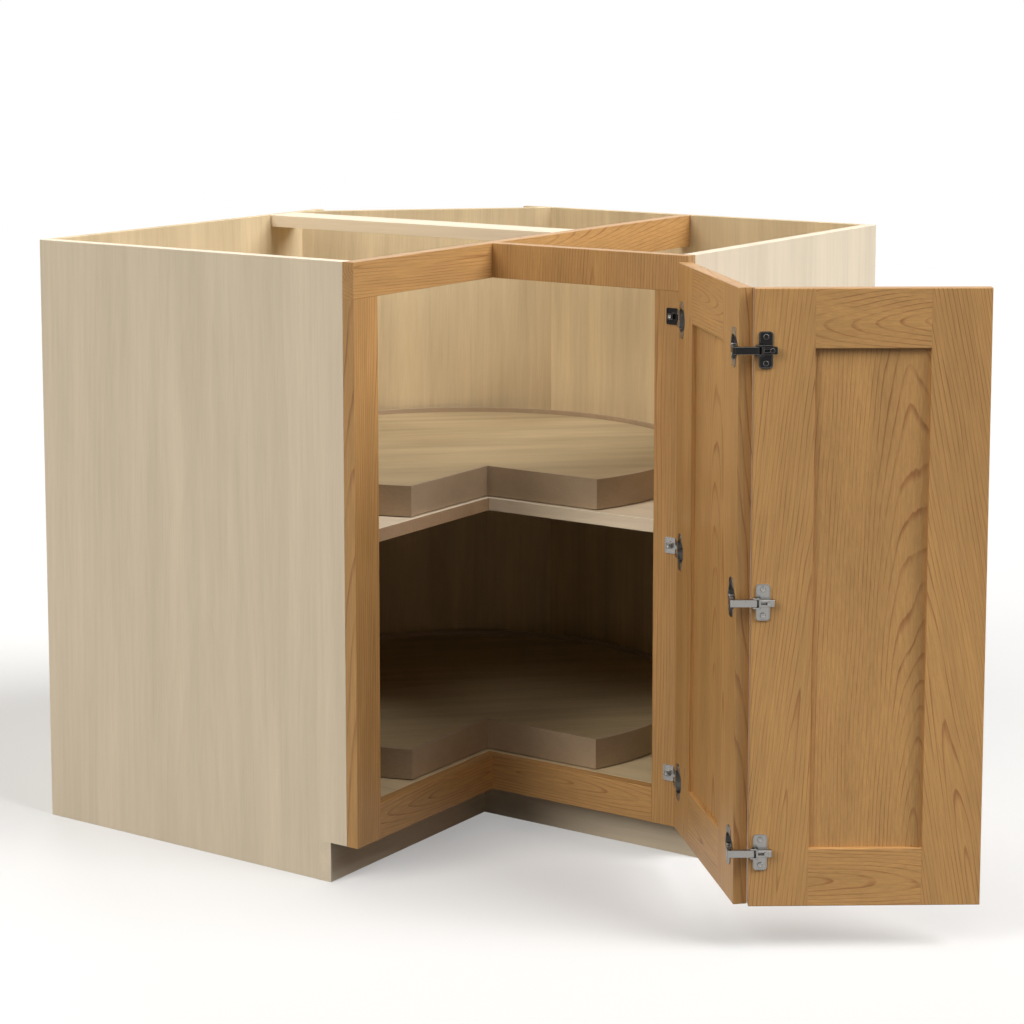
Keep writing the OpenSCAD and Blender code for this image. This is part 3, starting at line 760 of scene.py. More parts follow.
@dataclass
class Carcass:
    """Panels, shelves, stretcher, brace and toe boards."""

    toe_height: float = 57.15
    toe_depth: float = 66.65
    frame_thick: float = 19.05
    frame_back: float = 565.15
    diagonal_thick: float = 12.7
    rounding: float = 0.6
    body: str = "cabinet"

    def build(self) -> None:
        """Builds and dresses every board of the carcass."""
        for leg in Leg:
            self.end_panel(leg)
            self.back_panel(leg)
            self.toe_board(leg)
        self.diagonal_panel()
        # The floor board takes the shaded maple: painted shade.
        self.shelf("floor_panel", "floor_board", MAPLE_SHADED, Sawn(40, 90, 0.02, 0.03))
        self.shelf("middle_shelf", "shelf_board", MAPLE, Sawn(-60, 80, 0.02, -0.04, 400))
        self.complete(Workpiece.filling("stretcher_board", "top_stretcher"), EAST, UP,
                      Sawn(10, 30, 0.03), MAPLE, "top_stretcher")
        self.complete(Workpiece.filling("brace_board", "top_brace"), NORTH, WEST,
                      Sawn(26, 20, 0.10, 0.05), OAK_FRAME, "top_brace")

    def complete(self, board: Workpiece, along: Point, face: Point, sawn: Sawn,
                 finish: Finish, node: str) -> None:
        """Eases a board's edges, lays its grain and dresses it.

        Args:
            board: The board as cut.
            along: The direction of its grain.
            face: The direction that its show face looks.
            sawn: Where it lay in its log.
            finish: Its finish.
            node: The CAD node that it stands for.
        """
        board.soften(self.rounding).lay_grain(along, face, sawn).dress(self.body, finish, node)

    def end_panel(self, leg: Leg) -> None:
        """Builds an end panel, with its lower front corner left out for the toes."""
        node = leg.node("end_panel")
        low, high = box_mm(node)
        board = Workpiece.block(f"{leg.side}_end_board", (*low.xy, self.toe_height), high)
        middle = (low + high) / 2
        reach = abs((high - middle).dot(leg.front))
        cut = middle + leg.front * (reach - self.toe_depth + self.frame_thick)
        board.saw(cut, leg.front)
        board.push(lambda at, n: looks(n, DOWN) and (at - cut).dot(leg.front) < 0,
                   (0, 0, low.z - self.toe_height))
        sawn = Sawn(30 if leg is Leg.LEFT else -80, 120, 0.03, 0.01)
        self.complete(board, UP, leg.end, sawn, MAPLE, node)

    def back_panel(self, leg: Leg) -> None:
        """Builds the panel that stands along the leg's wall."""
        node = leg.node("back_panel")
        sawn = Sawn(-50 if leg is Leg.LEFT else 70, 110, 0.03, -0.01)
        self.complete(Workpiece.filling(f"{leg.side}_back_board", node), UP, leg.front, sawn,
                      MAPLE_SHADED, node)

    def diagonal_panel(self) -> None:
        """Builds the panel across the corner, cut to the diagonal from a rectangle."""
        node = "diagonal_back_panel"
        low, high = box_mm(node)
        board = Workpiece.plate("diagonal_board", low.xy, high.xy, low.z)
        board.saw((low.x, low.y, 0), (1, -1, 0), Keep.NEAR)
        board.saw((low.x, low.y + self.diagonal_thick * math.sqrt(2), 0), (-1, 1, 0),
                  Keep.NEAR)
        board.raise_up(high.z - low.z)
        self.complete(board, UP, (1, -1, 0), Sawn(15, 100, 0.03, 0.02), MAPLE_SHADED, node)

    def toe_board(self, leg: Leg) -> None:
        """Builds a toe board, which rises under the floor panel within the carcass."""
        node = leg.node("toe_board")
        low, high = box_mm(node)
        board = Workpiece.block(f"{leg.side}_kick_board", low, (*high.xy, self.toe_height))
        end_low, end_high = box_mm(leg.node("end_panel"))
        face = end_high if leg is Leg.LEFT else end_low
        board.saw(face, leg.end)
        board.push(lambda at, n: looks(n, UP) and (at - face).dot(leg.end) < 0,
                   (0, 0, high.z - self.toe_height))
        self.complete(board, leg.end, leg.front, Sawn(8, 40, 0.02), MAPLE, node)

    def shelf(self, node: str, name: str, finish: Finish, sawn: Sawn) -> None:
        """Builds a shelf: a square with its room corner and its inner corner taken off.

        Args:
            node: The CAD node that it stands for.
            name: The board's name.
            finish: The finish of all but its front edge on the left leg.
            sawn: Where it lay in its log.
        """
        low, high = box_mm(node)
        corner = self.frame_back
        board = Workpiece.plate(name, low.xy, high.xy, low.z)
        board.saw((corner, 0, 0), EAST).saw((0, -corner, 0), SOUTH)
        board.drop(lambda at, n: at.x > corner and at.y < -corner)
        across, _ = box_mm("diagonal_back_panel")
        board.saw(across, (-1, 1, 0), Keep.NEAR)
        board.raise_up(high.z - low.z)
        self.complete(board, EAST, UP, sawn, finish, node)
        # The front edge on the left leg is painted with shade.
        board.face_with(SHELF_EDGE_SHADE, lambda at, n: looks(n, EAST) and at.y < -corner)


@dataclass
class FaceFrame:
    """The L-shaped frame of stiles and rails round the opening."""

    rounding: float = 0.8
    body: str = "cabinet"
    figures: dict[str, Sawn] = field(default_factory=lambda: {
        "left_stile": Sawn(18, 14, 0.02, 0.03, 300),
        "right_stile": Sawn(-30, 22, 0.02, 0.02, 900),
        "left_top_rail": Sawn(12, 9, 0.03, 0.02, 1400),
        "right_top_rail": Sawn(4, 16, 0.05, 0.03, 2100),
        "left_bottom_rail": Sawn(6, 18, 0.08, 0.02, 2600),
        "right_bottom_rail": Sawn(-8, 15, 0.07, 0.01, 3300)})

    def build(self) -> None:
        """Builds and dresses the frame's six members."""
        for leg in Leg:
            self.member(leg, "stile", UP, UP)
            self.member(leg, "bottom_rail", leg.end, leg.end)
        self.member(Leg.LEFT, "top_rail", Leg.LEFT.end, Leg.LEFT.end)
        self.member(Leg.RIGHT, "top_rail", Leg.RIGHT.end, UP)

    def member(self, leg: Leg, name: str, along: Point, grain: Point) -> None:
        """Builds one member with eased edges along its length.

        Args:
            leg: The leg that it belongs to.
            name: The member's name in that leg.
            along: The direction of its length.
            grain: The direction of its grain.
        """
        node = leg.node(name)
        board = Workpiece.filling(f"{node}_oak", node)
        board.arris(lambda at, way: runs(way, along), self.rounding)
        board.soften(segments=1).lay_grain(grain, leg.front, self.figures[node])
        board.dress(self.body, OAK_FRAME, node)


# ---- Trays and swivels ----


@dataclass
class Tray:
    """A round tray with a square notch, its swivel's board and its swivel."""

    level: str
    sawn: Sawn
    axis: float = 421.0
    radius: float = 355.6
    notch: float = 557.7
    band: float = 5.0
    board_radius: float = 155.0
    board_rounding: float = 0.8
    corner: float = 1.6
    corner_reach: float = 1.0
    rounding: float = 0.9

    @property
    def body(self) -> str:
        """The CAD body that turns."""
        return f"{self.level}_tray"

    def build(self) -> None:
        """Builds the tray's three pieces and dresses its swivel."""
        self.panel()
        self.rim()
        self.board()
        for name in ("fixed_race", "turning_race", "ball_cage", "balls"):
            refinish(f"{self.level}_{name}", RACE_STEEL)

    def node(self, name: str) -> tuple[str, float, float]:
        """Gives one of the tray's CAD nodes, with its foot and its height."""
        node = f"{self.body}_{name}"
        low, high = box_mm(node)
        return node, low.z, high.z - low.z

    def outline(self, name: str, inset: float, z: float) -> Workpiece:
        """Cuts a disc to the tray's outline.

        Args:
            name: The piece's name.
            inset: How far the outline is drawn in.
            z: Its height.

        Returns:
            The flat workpiece.
        """
        notch = self.notch - inset
        disc = Workpiece.disc(name, (self.axis, -self.axis, z), self.radius - inset)
        disc.saw((notch, 0, 0), EAST).saw((0, -notch, 0), SOUTH)
        disc.drop(lambda at, n: at.x > notch and at.y < -notch)
        return disc

    def panel(self) -> None:
        """Builds the flat panel within the rim."""
        node, foot, height = self.node("panel")
        panel = self.outline(f"{self.body}_floor", self.band, foot)
        panel.raise_up(height).soften(segments=1).lay_grain((1, 1, 0), UP, self.sawn)
        panel.dress(self.body, TRAY_WOOD, node)

    def rim(self) -> None:
        """Builds the band that runs round the panel and along its notch."""
        node, foot, height = self.node("band")
        rim = self.outline(f"{self.body}_rim", 0.0, foot)
        with rim.editing():
            bpy.ops.mesh.inset(thickness=self.band * MM, depth=0.0)
            bpy.ops.mesh.delete(type="FACE")
        rim.raise_up(height)
        rim.arris(lambda at, way: runs(way, UP) and self.at_corner(at), self.corner, 4)
        rim.soften(self.rounding, segments=3).lay_grain((1, 1, 0), UP, Sawn(5, 200, 0.0))
        rim.dress(self.body, TRAY_EDGE, node)

    def at_corner(self, at: Vector) -> bool:
        """Tells whether an upright edge is one of the outline's outer corners."""
        reach = math.sqrt(self.radius ** 2 - (self.notch - self.axis) ** 2)
        ears = ((self.notch, -self.axis - reach), (self.axis + reach, -self.notch))
        return any((at.xy - Vector(ear)).length < self.corner_reach for ear in ears)

    def board(self) -> None:
        """Builds the round board between the panel and the swivel."""
        node, foot, height = self.node("board")
        board = Workpiece.disc(f"{self.body}_hub", (self.axis, -self.axis, foot),
                               self.board_radius, sides=128)
        board.raise_up(height).soften(self.board_rounding)
        board.lay_grain(EAST, UP, Sawn(30, 60, 0.02)).dress(self.body, TRAY_WOOD, node)


def refinish(node: str, finish: Finish) -> None:
    """Gives a CAD node that stays a better material."""
    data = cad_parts[node].data
    data.materials.clear()
    data.materials.append(finish.material())
    log.info("%s: finished as %s", node, finish.name)


# ---- Doors ----


@dataclass
class Folding:
    """Where the doors rest: each door's own space, set in the room."""

    end: float = 908.05
    front: float = -586.2
    foot: float = 62.15
    swing_pin: Point = (-3.2, 7.2)
    cup_pin: Point = (305.85, -5.0)
    second_end: Point = (321.85, 20.55)
    swing: float = 134.5
    spread: float = 9.1
    hinges: Sequence[float] = (73.3, 403.225, 728.35)

    @property
    def shut(self) -> Matrix:
        """The first door's space with the doors shut."""
        return shift(self.end, self.front, self.foot) @ Matrix.Rotation(math.pi, 4, "Z")

    @property
    def first(self) -> Matrix:
        """The first door's space at rest."""
        return self.shut @ turn_about(self.swing_pin, self.swing)

    @property
    def links(self) -> Matrix:
        """The links' space at rest."""
        return self.first @ turn_about(self.cup_pin, -self.spread)

    @property
    def second(self) -> Matrix:
        """The second door's space at rest."""
        return self.links @ shift(*self.second_end, 0) @ Matrix.Rotation(math.pi / 2, 4, "Z")


@dataclass
class Door:
    """A frame-and-panel door of two stiles, two rails and a panel."""

    number: int
    width: float
    place: Matrix
    near: str
    far: str
    figures: dict[str, Sawn]
    cups: Sequence[float] = ()
    hinges: Sequence[float] = ()
    height: float = 806.45
    thick: float = 19.05
    member: float = 77.0
    panel_thick: float = 6.35
    panel_play: float = 1.0
    groove: float = 9.0
    cup_radius: float = 17.6
    cup_depth: float = 11.5
    rounding: float = 1.4
    sticking: float = 1.4
    spare: float = 1.0

    @property
    def body(self) -> str:
        """The CAD body that the door is."""
        return f"door_{self.number}"

    @property
    def groove_v(self) -> tuple[float, float]:
        """The groove's two sides in the door's thickness."""
        side = (self.thick - self.panel_thick) / 2
        return side, side + self.panel_thick

    def build(self) -> None:
        """Builds and dresses the door's five members."""
        self.stile(self.near, 0.0, 1.0)
        self.stile(self.far, self.width, -1.0)
        self.rail("bottom_rail", 0.0, 1.0)
        self.rail("top_rail", self.height, -1.0)
        self.panel()

    def on_face(self, at: Vector) -> bool:
        """Tells whether a point lies on the door's inner or outer face."""
        return min(at.y, self.thick - at.y) < SAME_PLACE

    def complete(self, board: Workpiece, node: str, along: Point) -> None:
        """Eases a member's remaining edges, lays its grain and sets it in the door.

        Args:
            board: The member, in the door's own space.
            node: The member's name in this door.
            along: The direction of its grain.
        """
        board.soften(segments=1).lay_grain(along, SOUTH, self.figures[node])
        board.place(self.place).dress(self.body, OAK_DOOR, f"{self.body}_{node}")

    def stile(self, node: str, start: float, way: float) -> None:
        """Builds a stile with its groove and its bores.

        Args:
            node: The stile's name in this door.
            start: Where its outer edge is.
            way: 1 if it reaches towards the far end, or else -1.
        """
        inner = start + way * self.member
        low_v, high_v = self.groove_v
        near, far = sorted((start, inner))
        board = Workpiece.block(f"{self.body}_{node}_oak", (near, 0, 0),
                                (far, self.thick, self.height))
        mouth = sorted((inner + way * self.spare, inner - way * self.groove))
        board.cut_away(Workpiece.block("groove", (mouth[0], low_v, -self.spare),
                                       (mouth[1], high_v, self.height + self.spare)))
        board.cut_away(*(
            Workpiece.rod("bore", (u, -self.spare, z), NORTH, self.cup_radius,
                          self.cup_depth + self.spare, sides=48)
            for u in self.cups if near < u < far for z in self.hinges))
        board.arris(lambda at, d: (runs(d, UP) and meets(at.x, start))
                    or (runs(d, EAST) and self.on_face(at)
                        and min(at.z, self.height - at.z) < SAME_PLACE), self.rounding)
        board.arris(lambda at, d: runs(d, UP) and meets(at.x, inner) and self.on_face(at),
                    self.sticking)
        self.complete(board, node, UP)

    def rail(self, node: str, start: float, way: float) -> None:
        """Builds a rail with its groove and its two tongues.

        Args:
            node: The rail's name in this door.
            start: The height of its outer edge.
            way: 1 if it reaches upwards, or else -1.
        """
        inner = start + way * self.member
        low_v, high_v = self.groove_v
        foot, head = sorted((start, inner))
        left, right = self.member, self.width - self.member
        board = Workpiece.block(f"{self.body}_{node}_oak", (left, 0, foot),
                                (right, self.thick, head))
        mouth = sorted((inner + way * self.spare, inner - way * self.groove))
        board.cut_away(Workpiece.block("groove", (0, low_v, mouth[0]),
                                       (self.width, high_v, mouth[1])))
        board.arris(lambda at, d: runs(d, EAST) and meets(at.z, start), self.rounding)
        board.arris(lambda at, d: runs(d, EAST) and meets(at.z, inner) and self.on_face(at),
                    self.sticking)
        foot, head = sorted((start, inner - way * self.groove))
        board.join(*(
            Workpiece.block("tongue", (u, low_v, foot), (end, high_v, head))
            for u, end in ((left - self.groove, left), (right, right + self.groove))))
        self.complete(board, node, EAST)

    def panel(self) -> None:
        """Builds the panel, whose edges stand in the grooves."""
        edge = self.member - self.groove + self.panel_play
        low_v, high_v = self.groove_v
        board = Workpiece.block(f"{self.body}_panel_oak", (edge, low_v, edge),
                                (self.width - edge, high_v, self.height - edge))
        self.complete(board, "panel", UP)


# ---- Hinges ----


@dataclass
class Screw:
    """A screw with a cross recess, along v."""

    head: float
    head_height: float
    shank: float = 1.7
    length: float = 12.0
    cross: float = 0.62
    cross_depth: float = 0.6
    slot: float = 0.22
    neck: float = 0.9
    rounding: float = 0.35

    def make(self, u: float, z: float, top_v: float) -> Workpiece:
        """Models the screw.

        Args:
            u: Its place along the door.
            z: Its height.
            top_v: Where its head's outer face is.

        Returns:
            The workpiece.
        """
        head = Workpiece.rod("head", (u, top_v, z), NORTH, self.head, self.head_height)
        flats = head.normals()
        head.arris(lambda at, d: meets(at.y, top_v), self.rounding)
        head.mark_rounded(flats)
        arm, half = self.head * self.cross, self.head * self.slot
        for reach_u, reach_z in ((arm, half), (half, arm)):
            head.cut_away(Workpiece.block(
                "slot", (u - reach_u, top_v - 1, z - reach_z),
                (u + reach_u, top_v + self.head_height * self.cross_depth, z + reach_z)))
        head.weigh_normals()
        return head.join(Workpiece.rod("shank", (u, top_v + self.head_height * self.neck, z),
                                       NORTH, self.shank, self.length, sides=20))


def steel(name: str, low: Point, high: Point, ease: float = EASE) -> Workpiece:
    """Models a squared steel part with eased edges."""
    return Workpiece.block(name, low, high).soften(ease)


@dataclass
class CupHinge:
    """What both kinds of concealed hinge share: the cup with its flange and screws."""

    cup_u: float
    radius: float = 17.5
    wall: float = 1.3
    depth: float = 11.3
    cup_rounding: float = 0.5
    flange: float = 1.2
    flange_height: float = 52.0
    flange_width: float = 18.0
    flange_corner: float = 6.75
    flange_pitch: float = 44.0
    coarse: float = 0.3
    play: float = 0.3

    def cup(self) -> Workpiece:
        """Models the cup as a drawn bowl in a flange with rounded ends."""
        bowl = Workpiece.rod("cup", (self.cup_u, 0, 0), NORTH, self.radius, self.depth, 64)
        bowl.recess(lambda at, n: looks(n, SOUTH), self.wall, (0, self.depth - self.wall, 0))
        bowl.soften(self.cup_rounding, segments=3)
        half_w, half_h = self.flange_width / 2, self.flange_height / 2
        plate = Workpiece.block("flange", (self.cup_u - half_w, -self.flange, -half_h),
                                (self.cup_u + half_w, 0, half_h))
        plate.arris(lambda at, d: runs(d, NORTH), self.flange_corner, 6)
        plate.cut_away(Workpiece.rod("opening", (self.cup_u, -self.flange - 1, 0), NORTH,
                                     self.radius - self.wall, self.flange + 2, 64))
        return bowl.join(plate.soften(self.coarse))


@dataclass
class FrameHinge(CupHinge):
    """The hinge between the right stile and the first door."""

    pin: Point = (-3.2, 7.2)
    knuckle: float = 2.7
    plate_u: float = 19.05
    plate_width: float = 17.0
    plate_height: float = 23.0
    plate_thick: float = 1.6
    plate_rim: float = 1.6
    plate_sink: float = 0.5
    face_v: float = -2.0
    strip: float = 1.4
    boss: float = 8.0
    boss_height: float = 5.0
    boss_corner: float = 1.0
    boss_rim: float = 0.7
    boss_sink: float = 0.6
    knuckle_height: float = 10.0
    outer_height: float = 6.7
    strap_end: float = 10.0

    def rolled(self, back: float, thick: float, end_u: float, z: float,
               height: float) -> list[Workpiece]:
        """Models a strap that wraps the pin.

        Args:
            back: Where its back lies.
            thick: Its thickness.
            end_u: Where it starts, on the plate or the cup.
            z: Its foot.
            height: Its height.

        Returns:
            The strap, its bend and its rolled knuckle.
        """
        u, v = self.pin
        return [steel("strap", (u, back, z), (end_u, back + thick, z + height)),
                steel("bend", (u, back, z), (u + self.knuckle, v, z + height)),
                Workpiece.rod("knuckle", (u, v, z), UP, self.knuckle, height).soften(
                    self.coarse)]

    def frame_plate(self) -> Workpiece:
        """Models the plate on the stile, with its raised rim, its boss and its knuckle."""
        half_w, half_h, half_b = self.plate_width / 2, self.plate_height / 2, self.boss / 2
        top = self.face_v + self.plate_thick
        plate = Workpiece.block("plate", (self.plate_u - half_w, self.face_v, -half_h),
                                (self.plate_u + half_w, top, half_h))
        plate.arris(lambda at, d: runs(d, NORTH), self.plate_rim, 4)
        plate.recess(lambda at, n: looks(n, NORTH), self.plate_rim, (0, -self.plate_sink, 0))
        boss = Workpiece.block("boss", (self.plate_u - half_b, self.face_v, -half_b),
                               (self.plate_u + half_b, top + self.boss_height, half_b))
        boss.arris(lambda at, d: runs(d, NORTH), self.boss_corner)
        boss.recess(lambda at, n: looks(n, NORTH), self.boss_rim, (0, -self.boss_sink, 0))
        return plate.soften().join(boss.soften(), *self.rolled(
            self.face_v, self.strip, self.plate_u, -self.knuckle_height / 2,
            self.knuckle_height))

    def frame_screw(self) -> Workpiece:
        """Models the screw through the boss, whose head looks outwards."""
        screw = Screw(head=2.7, head_height=1.2, length=18.0)
        top = self.face_v + self.plate_thick + self.boss_height
        return screw.make(0, 0, 0).place(
            shift(self.plate_u, top + screw.head_height, 0) @ Matrix.Rotation(math.pi, 4, "Z"))

    def swing_cup(self) -> Workpiece:
        """Models the cup whose flange wraps the door's end and carries two knuckles."""
        cup = self.cup()
        foot = self.knuckle_height / 2 + self.play
        for z in (foot, -foot - self.outer_height):
            cup.join(*self.rolled(-self.flange, self.flange, self.cup_u - self.strap_end, z,
                                  self.outer_height))
        return cup


@dataclass
class FoldHinge(CupHinge):
    """The hinge between the two doors: cup, link, arm and plate."""

    cup_pin: Point = (305.85, -5.0)
    arm_pin: Point = (327.85, 24.5)
    own_pin: Point = (3.95, -6.0)
    tongue_start: float = 8.0
    link: float = 3.0
    link_height: float = 9.5
    link_rounding: float = 0.35
    lug: float = 2.0
    plate_thick: float = 2.2
    saddle: float = 0.8
    saddle_height: float = 12.0
    arm_thick: float = 6.0
    arm_length: float = 28.4
    arm_rounding: float = 1.4
    bridge: float = 2.5
    bridge_gap: float = 1.35
    slot: Point = (15.0, 7.6, 3.2)
    clamp_u: float = 21.7
    mount_u: float = 14.2
    mount_width: float = 18.2
    mount_height: float = 47.4
    mount_chamfer: float = 4.0
    mount_rim: float = 1.2
    mount_sink: float = 0.35
    mount_pitch: float = 34.0

    @property
    def lug_z(self) -> float:
        """Where the lugs start, above and below the middle."""
        return self.link_height / 2 + self.play

    @property
    def lug_top(self) -> float:
        """Where the lugs end, above and below the middle."""
        return self.lug_z + self.lug

    @property
    def bridge_u(self) -> float:
        """Where the arm's bridge starts, clear of the link."""
        return self.own_pin[0] + self.link + self.bridge_gap

    def fold_cup(self) -> Workpiece:
        """Models the cup with the tongue and lugs that hold the link's first pin."""
        cup = self.cup()
        u, v = self.cup_pin
        made = [steel("tongue", (self.cup_u + self.tongue_start, -self.flange, -self.lug_top),
                      (u + self.link, 0, self.lug_top))]
        for z in (self.lug_z, -self.lug_top):
            made.append(steel("lug", (u - self.link, v, z), (u + self.link, 0, z + self.lug)))
            made.append(Workpiece.rod("lug_end", (u, v, z), UP, self.link, self.lug).soften())
        return cup.join(*made)

    def fold_link(self) -> Workpiece:
        """Models the bent link between the two pins."""
        half = self.link_height / 2
        (u0, v0), (u1, v1) = self.cup_pin, self.arm_pin
        made = [Workpiece.rod("bend", (*at, -half), UP, self.link, self.link_height)
                for at in ((u0, v0), (u1, v0), (u1, v1))]
        made.append(Workpiece.block("first", (u0, v0 - self.link, -half),
                                    (u1, v0 + self.link, half)))
        made.append(Workpiece.block("second", (u1 - self.link, v0, -half),
                                    (u1 + self.link, v1, half)))
        for piece in made:
            piece.soften(self.link_rounding)
        return made[0].join(*made[1:])

    def fold_arm(self) -> Workpiece:
        """Models the arm: two cheeks, a bridge and a bar with a slot in it."""
        u, reach = self.own_pin
        cheek = -reach - self.plate_thick - self.play
        foot = -self.plate_thick - self.saddle
        end_u, half = self.bridge_u + self.bridge, self.link_height / 2
        bar = Workpiece.block("bar", (self.bridge_u, foot - self.arm_thick, -half),
                              (self.arm_length, foot, half))
        bar.arris(lambda at, d: runs(d, EAST) and at.y < foot - 1, self.arm_rounding, 4)
        at_u, length, height = self.slot
        bar.cut_away(Workpiece.block(
            "slot", (at_u - length / 2, foot - self.arm_thick - 1, -height / 2),
            (at_u + length / 2, foot + 1, height / 2)))
        made = []
        for z in (self.lug_z, -self.lug_top):
            made.append(Workpiece.rod("cheek_end", (u, reach, z), UP, cheek, self.lug).soften())
            made.append(steel("cheek", (u, reach - cheek, z),
                              (end_u, reach + cheek, z + self.lug)))
        made.append(steel("bridge", (self.bridge_u, reach - cheek, -self.lug_top),
                          (end_u, reach + cheek, self.lug_top), self.coarse))
        return bar.soften(self.coarse).join(*made)

    def mounting_plate(self) -> Workpiece:
        """Models the winged plate, with its saddle under the arm."""
        half_w, half_h, half_s = (
            size / 2 for size in (self.mount_width, self.mount_height, self.saddle_height))
        wings = Workpiece.block("wings", (self.mount_u - half_w, -self.plate_thick, -half_h),
                                (self.mount_u + half_w, 0, half_h))
        wings.arris(lambda at, d: runs(d, NORTH), self.mount_chamfer, 2)
        wings.recess(lambda at, n: looks(n, SOUTH), self.mount_rim, (0, self.mount_sink, 0))
        saddle_u = self.bridge_u + self.bridge + self.play
        return wings.soften(self.coarse).join(steel(
            "saddle", (saddle_u, -self.plate_thick - self.saddle, -half_s),
            (self.mount_u + half_w, 0, half_s), self.coarse))


@dataclass
class Hardware:
    """Every hinge of the pair of doors, modelled once and copied to three heights."""

    folding: Folding
    heights: Sequence[str] = ("bottom", "middle", "top")
    proud: float = 0.01

    def build(self) -> None:
        """Builds and dresses all the hinges' pieces."""
        swing, fold = FrameHinge(cup_u=20.5), FoldHinge(cup_u=291.85)
        shut, first = self.folding.shut, self.folding.first
        links, second = self.folding.links, self.folding.second
        self.one_each(swing.frame_plate(), shut, "cabinet", "frame_plate")
        self.one_each(fold.fold_arm(), second, "door_2", "fold_arm")
        self.one_each(fold.mounting_plate(), second, "door_2", "mounting_plate")
        self.set_of(swing.frame_screw(), shut, "cabinet", "frame_plate_screws")
        self.set_of(swing.swing_cup(), first, "door_1", "swing_cups")
        self.set_of(fold.fold_cup(), first, "door_1", "fold_cups")
        # The top copies of the links and screws are painted dark, as a dark reflection.
        self.set_of(fold.fold_link(), links, "door_2", "fold_links", DARK_REFLECTION_STEEL)
        flange = Screw(head=3.0, head_height=1.2)
        made = [flange.make(hinge.cup_u, side * hinge.flange_pitch / 2,
                            -hinge.flange - self.proud)
                for hinge in (swing, fold) for side in (-1, 1)]
        self.set_of(made[0].join(*made[1:]), first, "door_1", "cup_screws")
        wing = Screw(head=3.6, head_height=1.3, rounding=0.6)
        made = [wing.make(fold.mount_u, side * fold.mount_pitch / 2,
                          -fold.plate_thick - wing.head_height) for side in (-1, 1)]
        self.set_of(made[0].join(made[1]), second, "door_2", "mounting_screws", DARK_REFLECTION_STEEL)
        clamp = Screw(head=3.1, head_height=1.0, length=6.0)
        top = -fold.plate_thick - fold.saddle - fold.arm_thick - clamp.head_height
        self.set_of(clamp.make(fold.clamp_u, 0, top), second, "door_2", "clamp_screws",
                    DARK_REFLECTION_STEEL)
        for node in ("swing_pins", "cup_pins", "arm_pins"):
            refinish(node, NICKEL)

    def copies(self, model: Workpiece, place: Matrix, node: str) -> list[Workpiece]:
        """Copies a model to the three heights, lowest first, and throws it away."""
        made = [model.twin(f"{node}_{height}_steel").place(place @ shift(0, 0, z))
                for z, height in zip(self.folding.hinges, self.heights)]
        bpy.data.objects.remove(model.obj, do_unlink=True)
        return made

    def one_each(self, model: Workpiece, place: Matrix, body: str, node: str) -> None:
        """Copies a model to each height, as a piece of its own.

        Args:
            model: The piece at the middle height of its own space.
            place: That space, set in the room.
            body: The CAD body that it rides on.
            node: The CAD nodes' shared name, without the height.
        """
        for copy, height in zip(self.copies(model, place, node), self.heights):
            # The top hinge is painted dark, as a dark reflection.
            copy.dress(body, DARK_REFLECTION_STEEL if height == "top" else NICKEL, f"{node}_{height}")

    def set_of(self, model: Workpiece, place: Matrix, body: str, node: str,
               top: Finish = NICKEL) -> None:
        """Copies a model to each height, and joins the copies that share a finish.

        Args:
            model: The piece at the middle height of a door's own space.
            place: That space, set in the room.
            body: The CAD body that it rides on.
            node: The CAD node that the copies stand for.
            top: The finish of the top hinge's copy.
        """
        bottom, middle, upper = self.copies(model, place, node)
        bottom.join(middle)
        if top is NICKEL:
            bottom.join(upper)
        else:
            upper.dress(body, top, node)
        bottom.dress(body, NICKEL, node)


# ---- Studio ----


@dataclass(frozen=True)
class Lamp:
    """A broad soft light, far off in one direction.

    Its strength is the level at which it shows a white surface that faces it.
    """

    name: str
    azimuth: float
    elevation: float
    strength: float
    tint: Point = (1.0, 1.0, 1.0)
    gleams: bool = True
    spread: float = 25.0
    away: ClassVar[float] = 4.0

    def hang(self) -> None:
        """Adds the lamp to the scene."""
        turn, rise = math.radians(self.azimuth), math.radians(self.elevation)
        source = Vector((math.cos(turn) * math.cos(rise), math.sin(turn) * math.cos(rise),
                         math.sin(rise)))
        bpy.ops.object.select_all(action="DESELECT")
        bpy.ops.object.light_add(type="SUN", location=source * self.away)
        lamp = bpy.context.view_layer.objects.active
        lamp.name = self.name
        lamp.data.energy = self.strength * math.pi
        lamp.data.angle = math.radians(self.spread)
        lamp.data.color = self.tint
        lamp.visible_glossy = self.gleams
        lamp.rotation_euler = (-source).to_track_quat("-Z", "Y").to_euler()


WARM = (1.0, 0.95, 0.87)
WHITE = (1.0, 1.0, 1.0, 1.0)


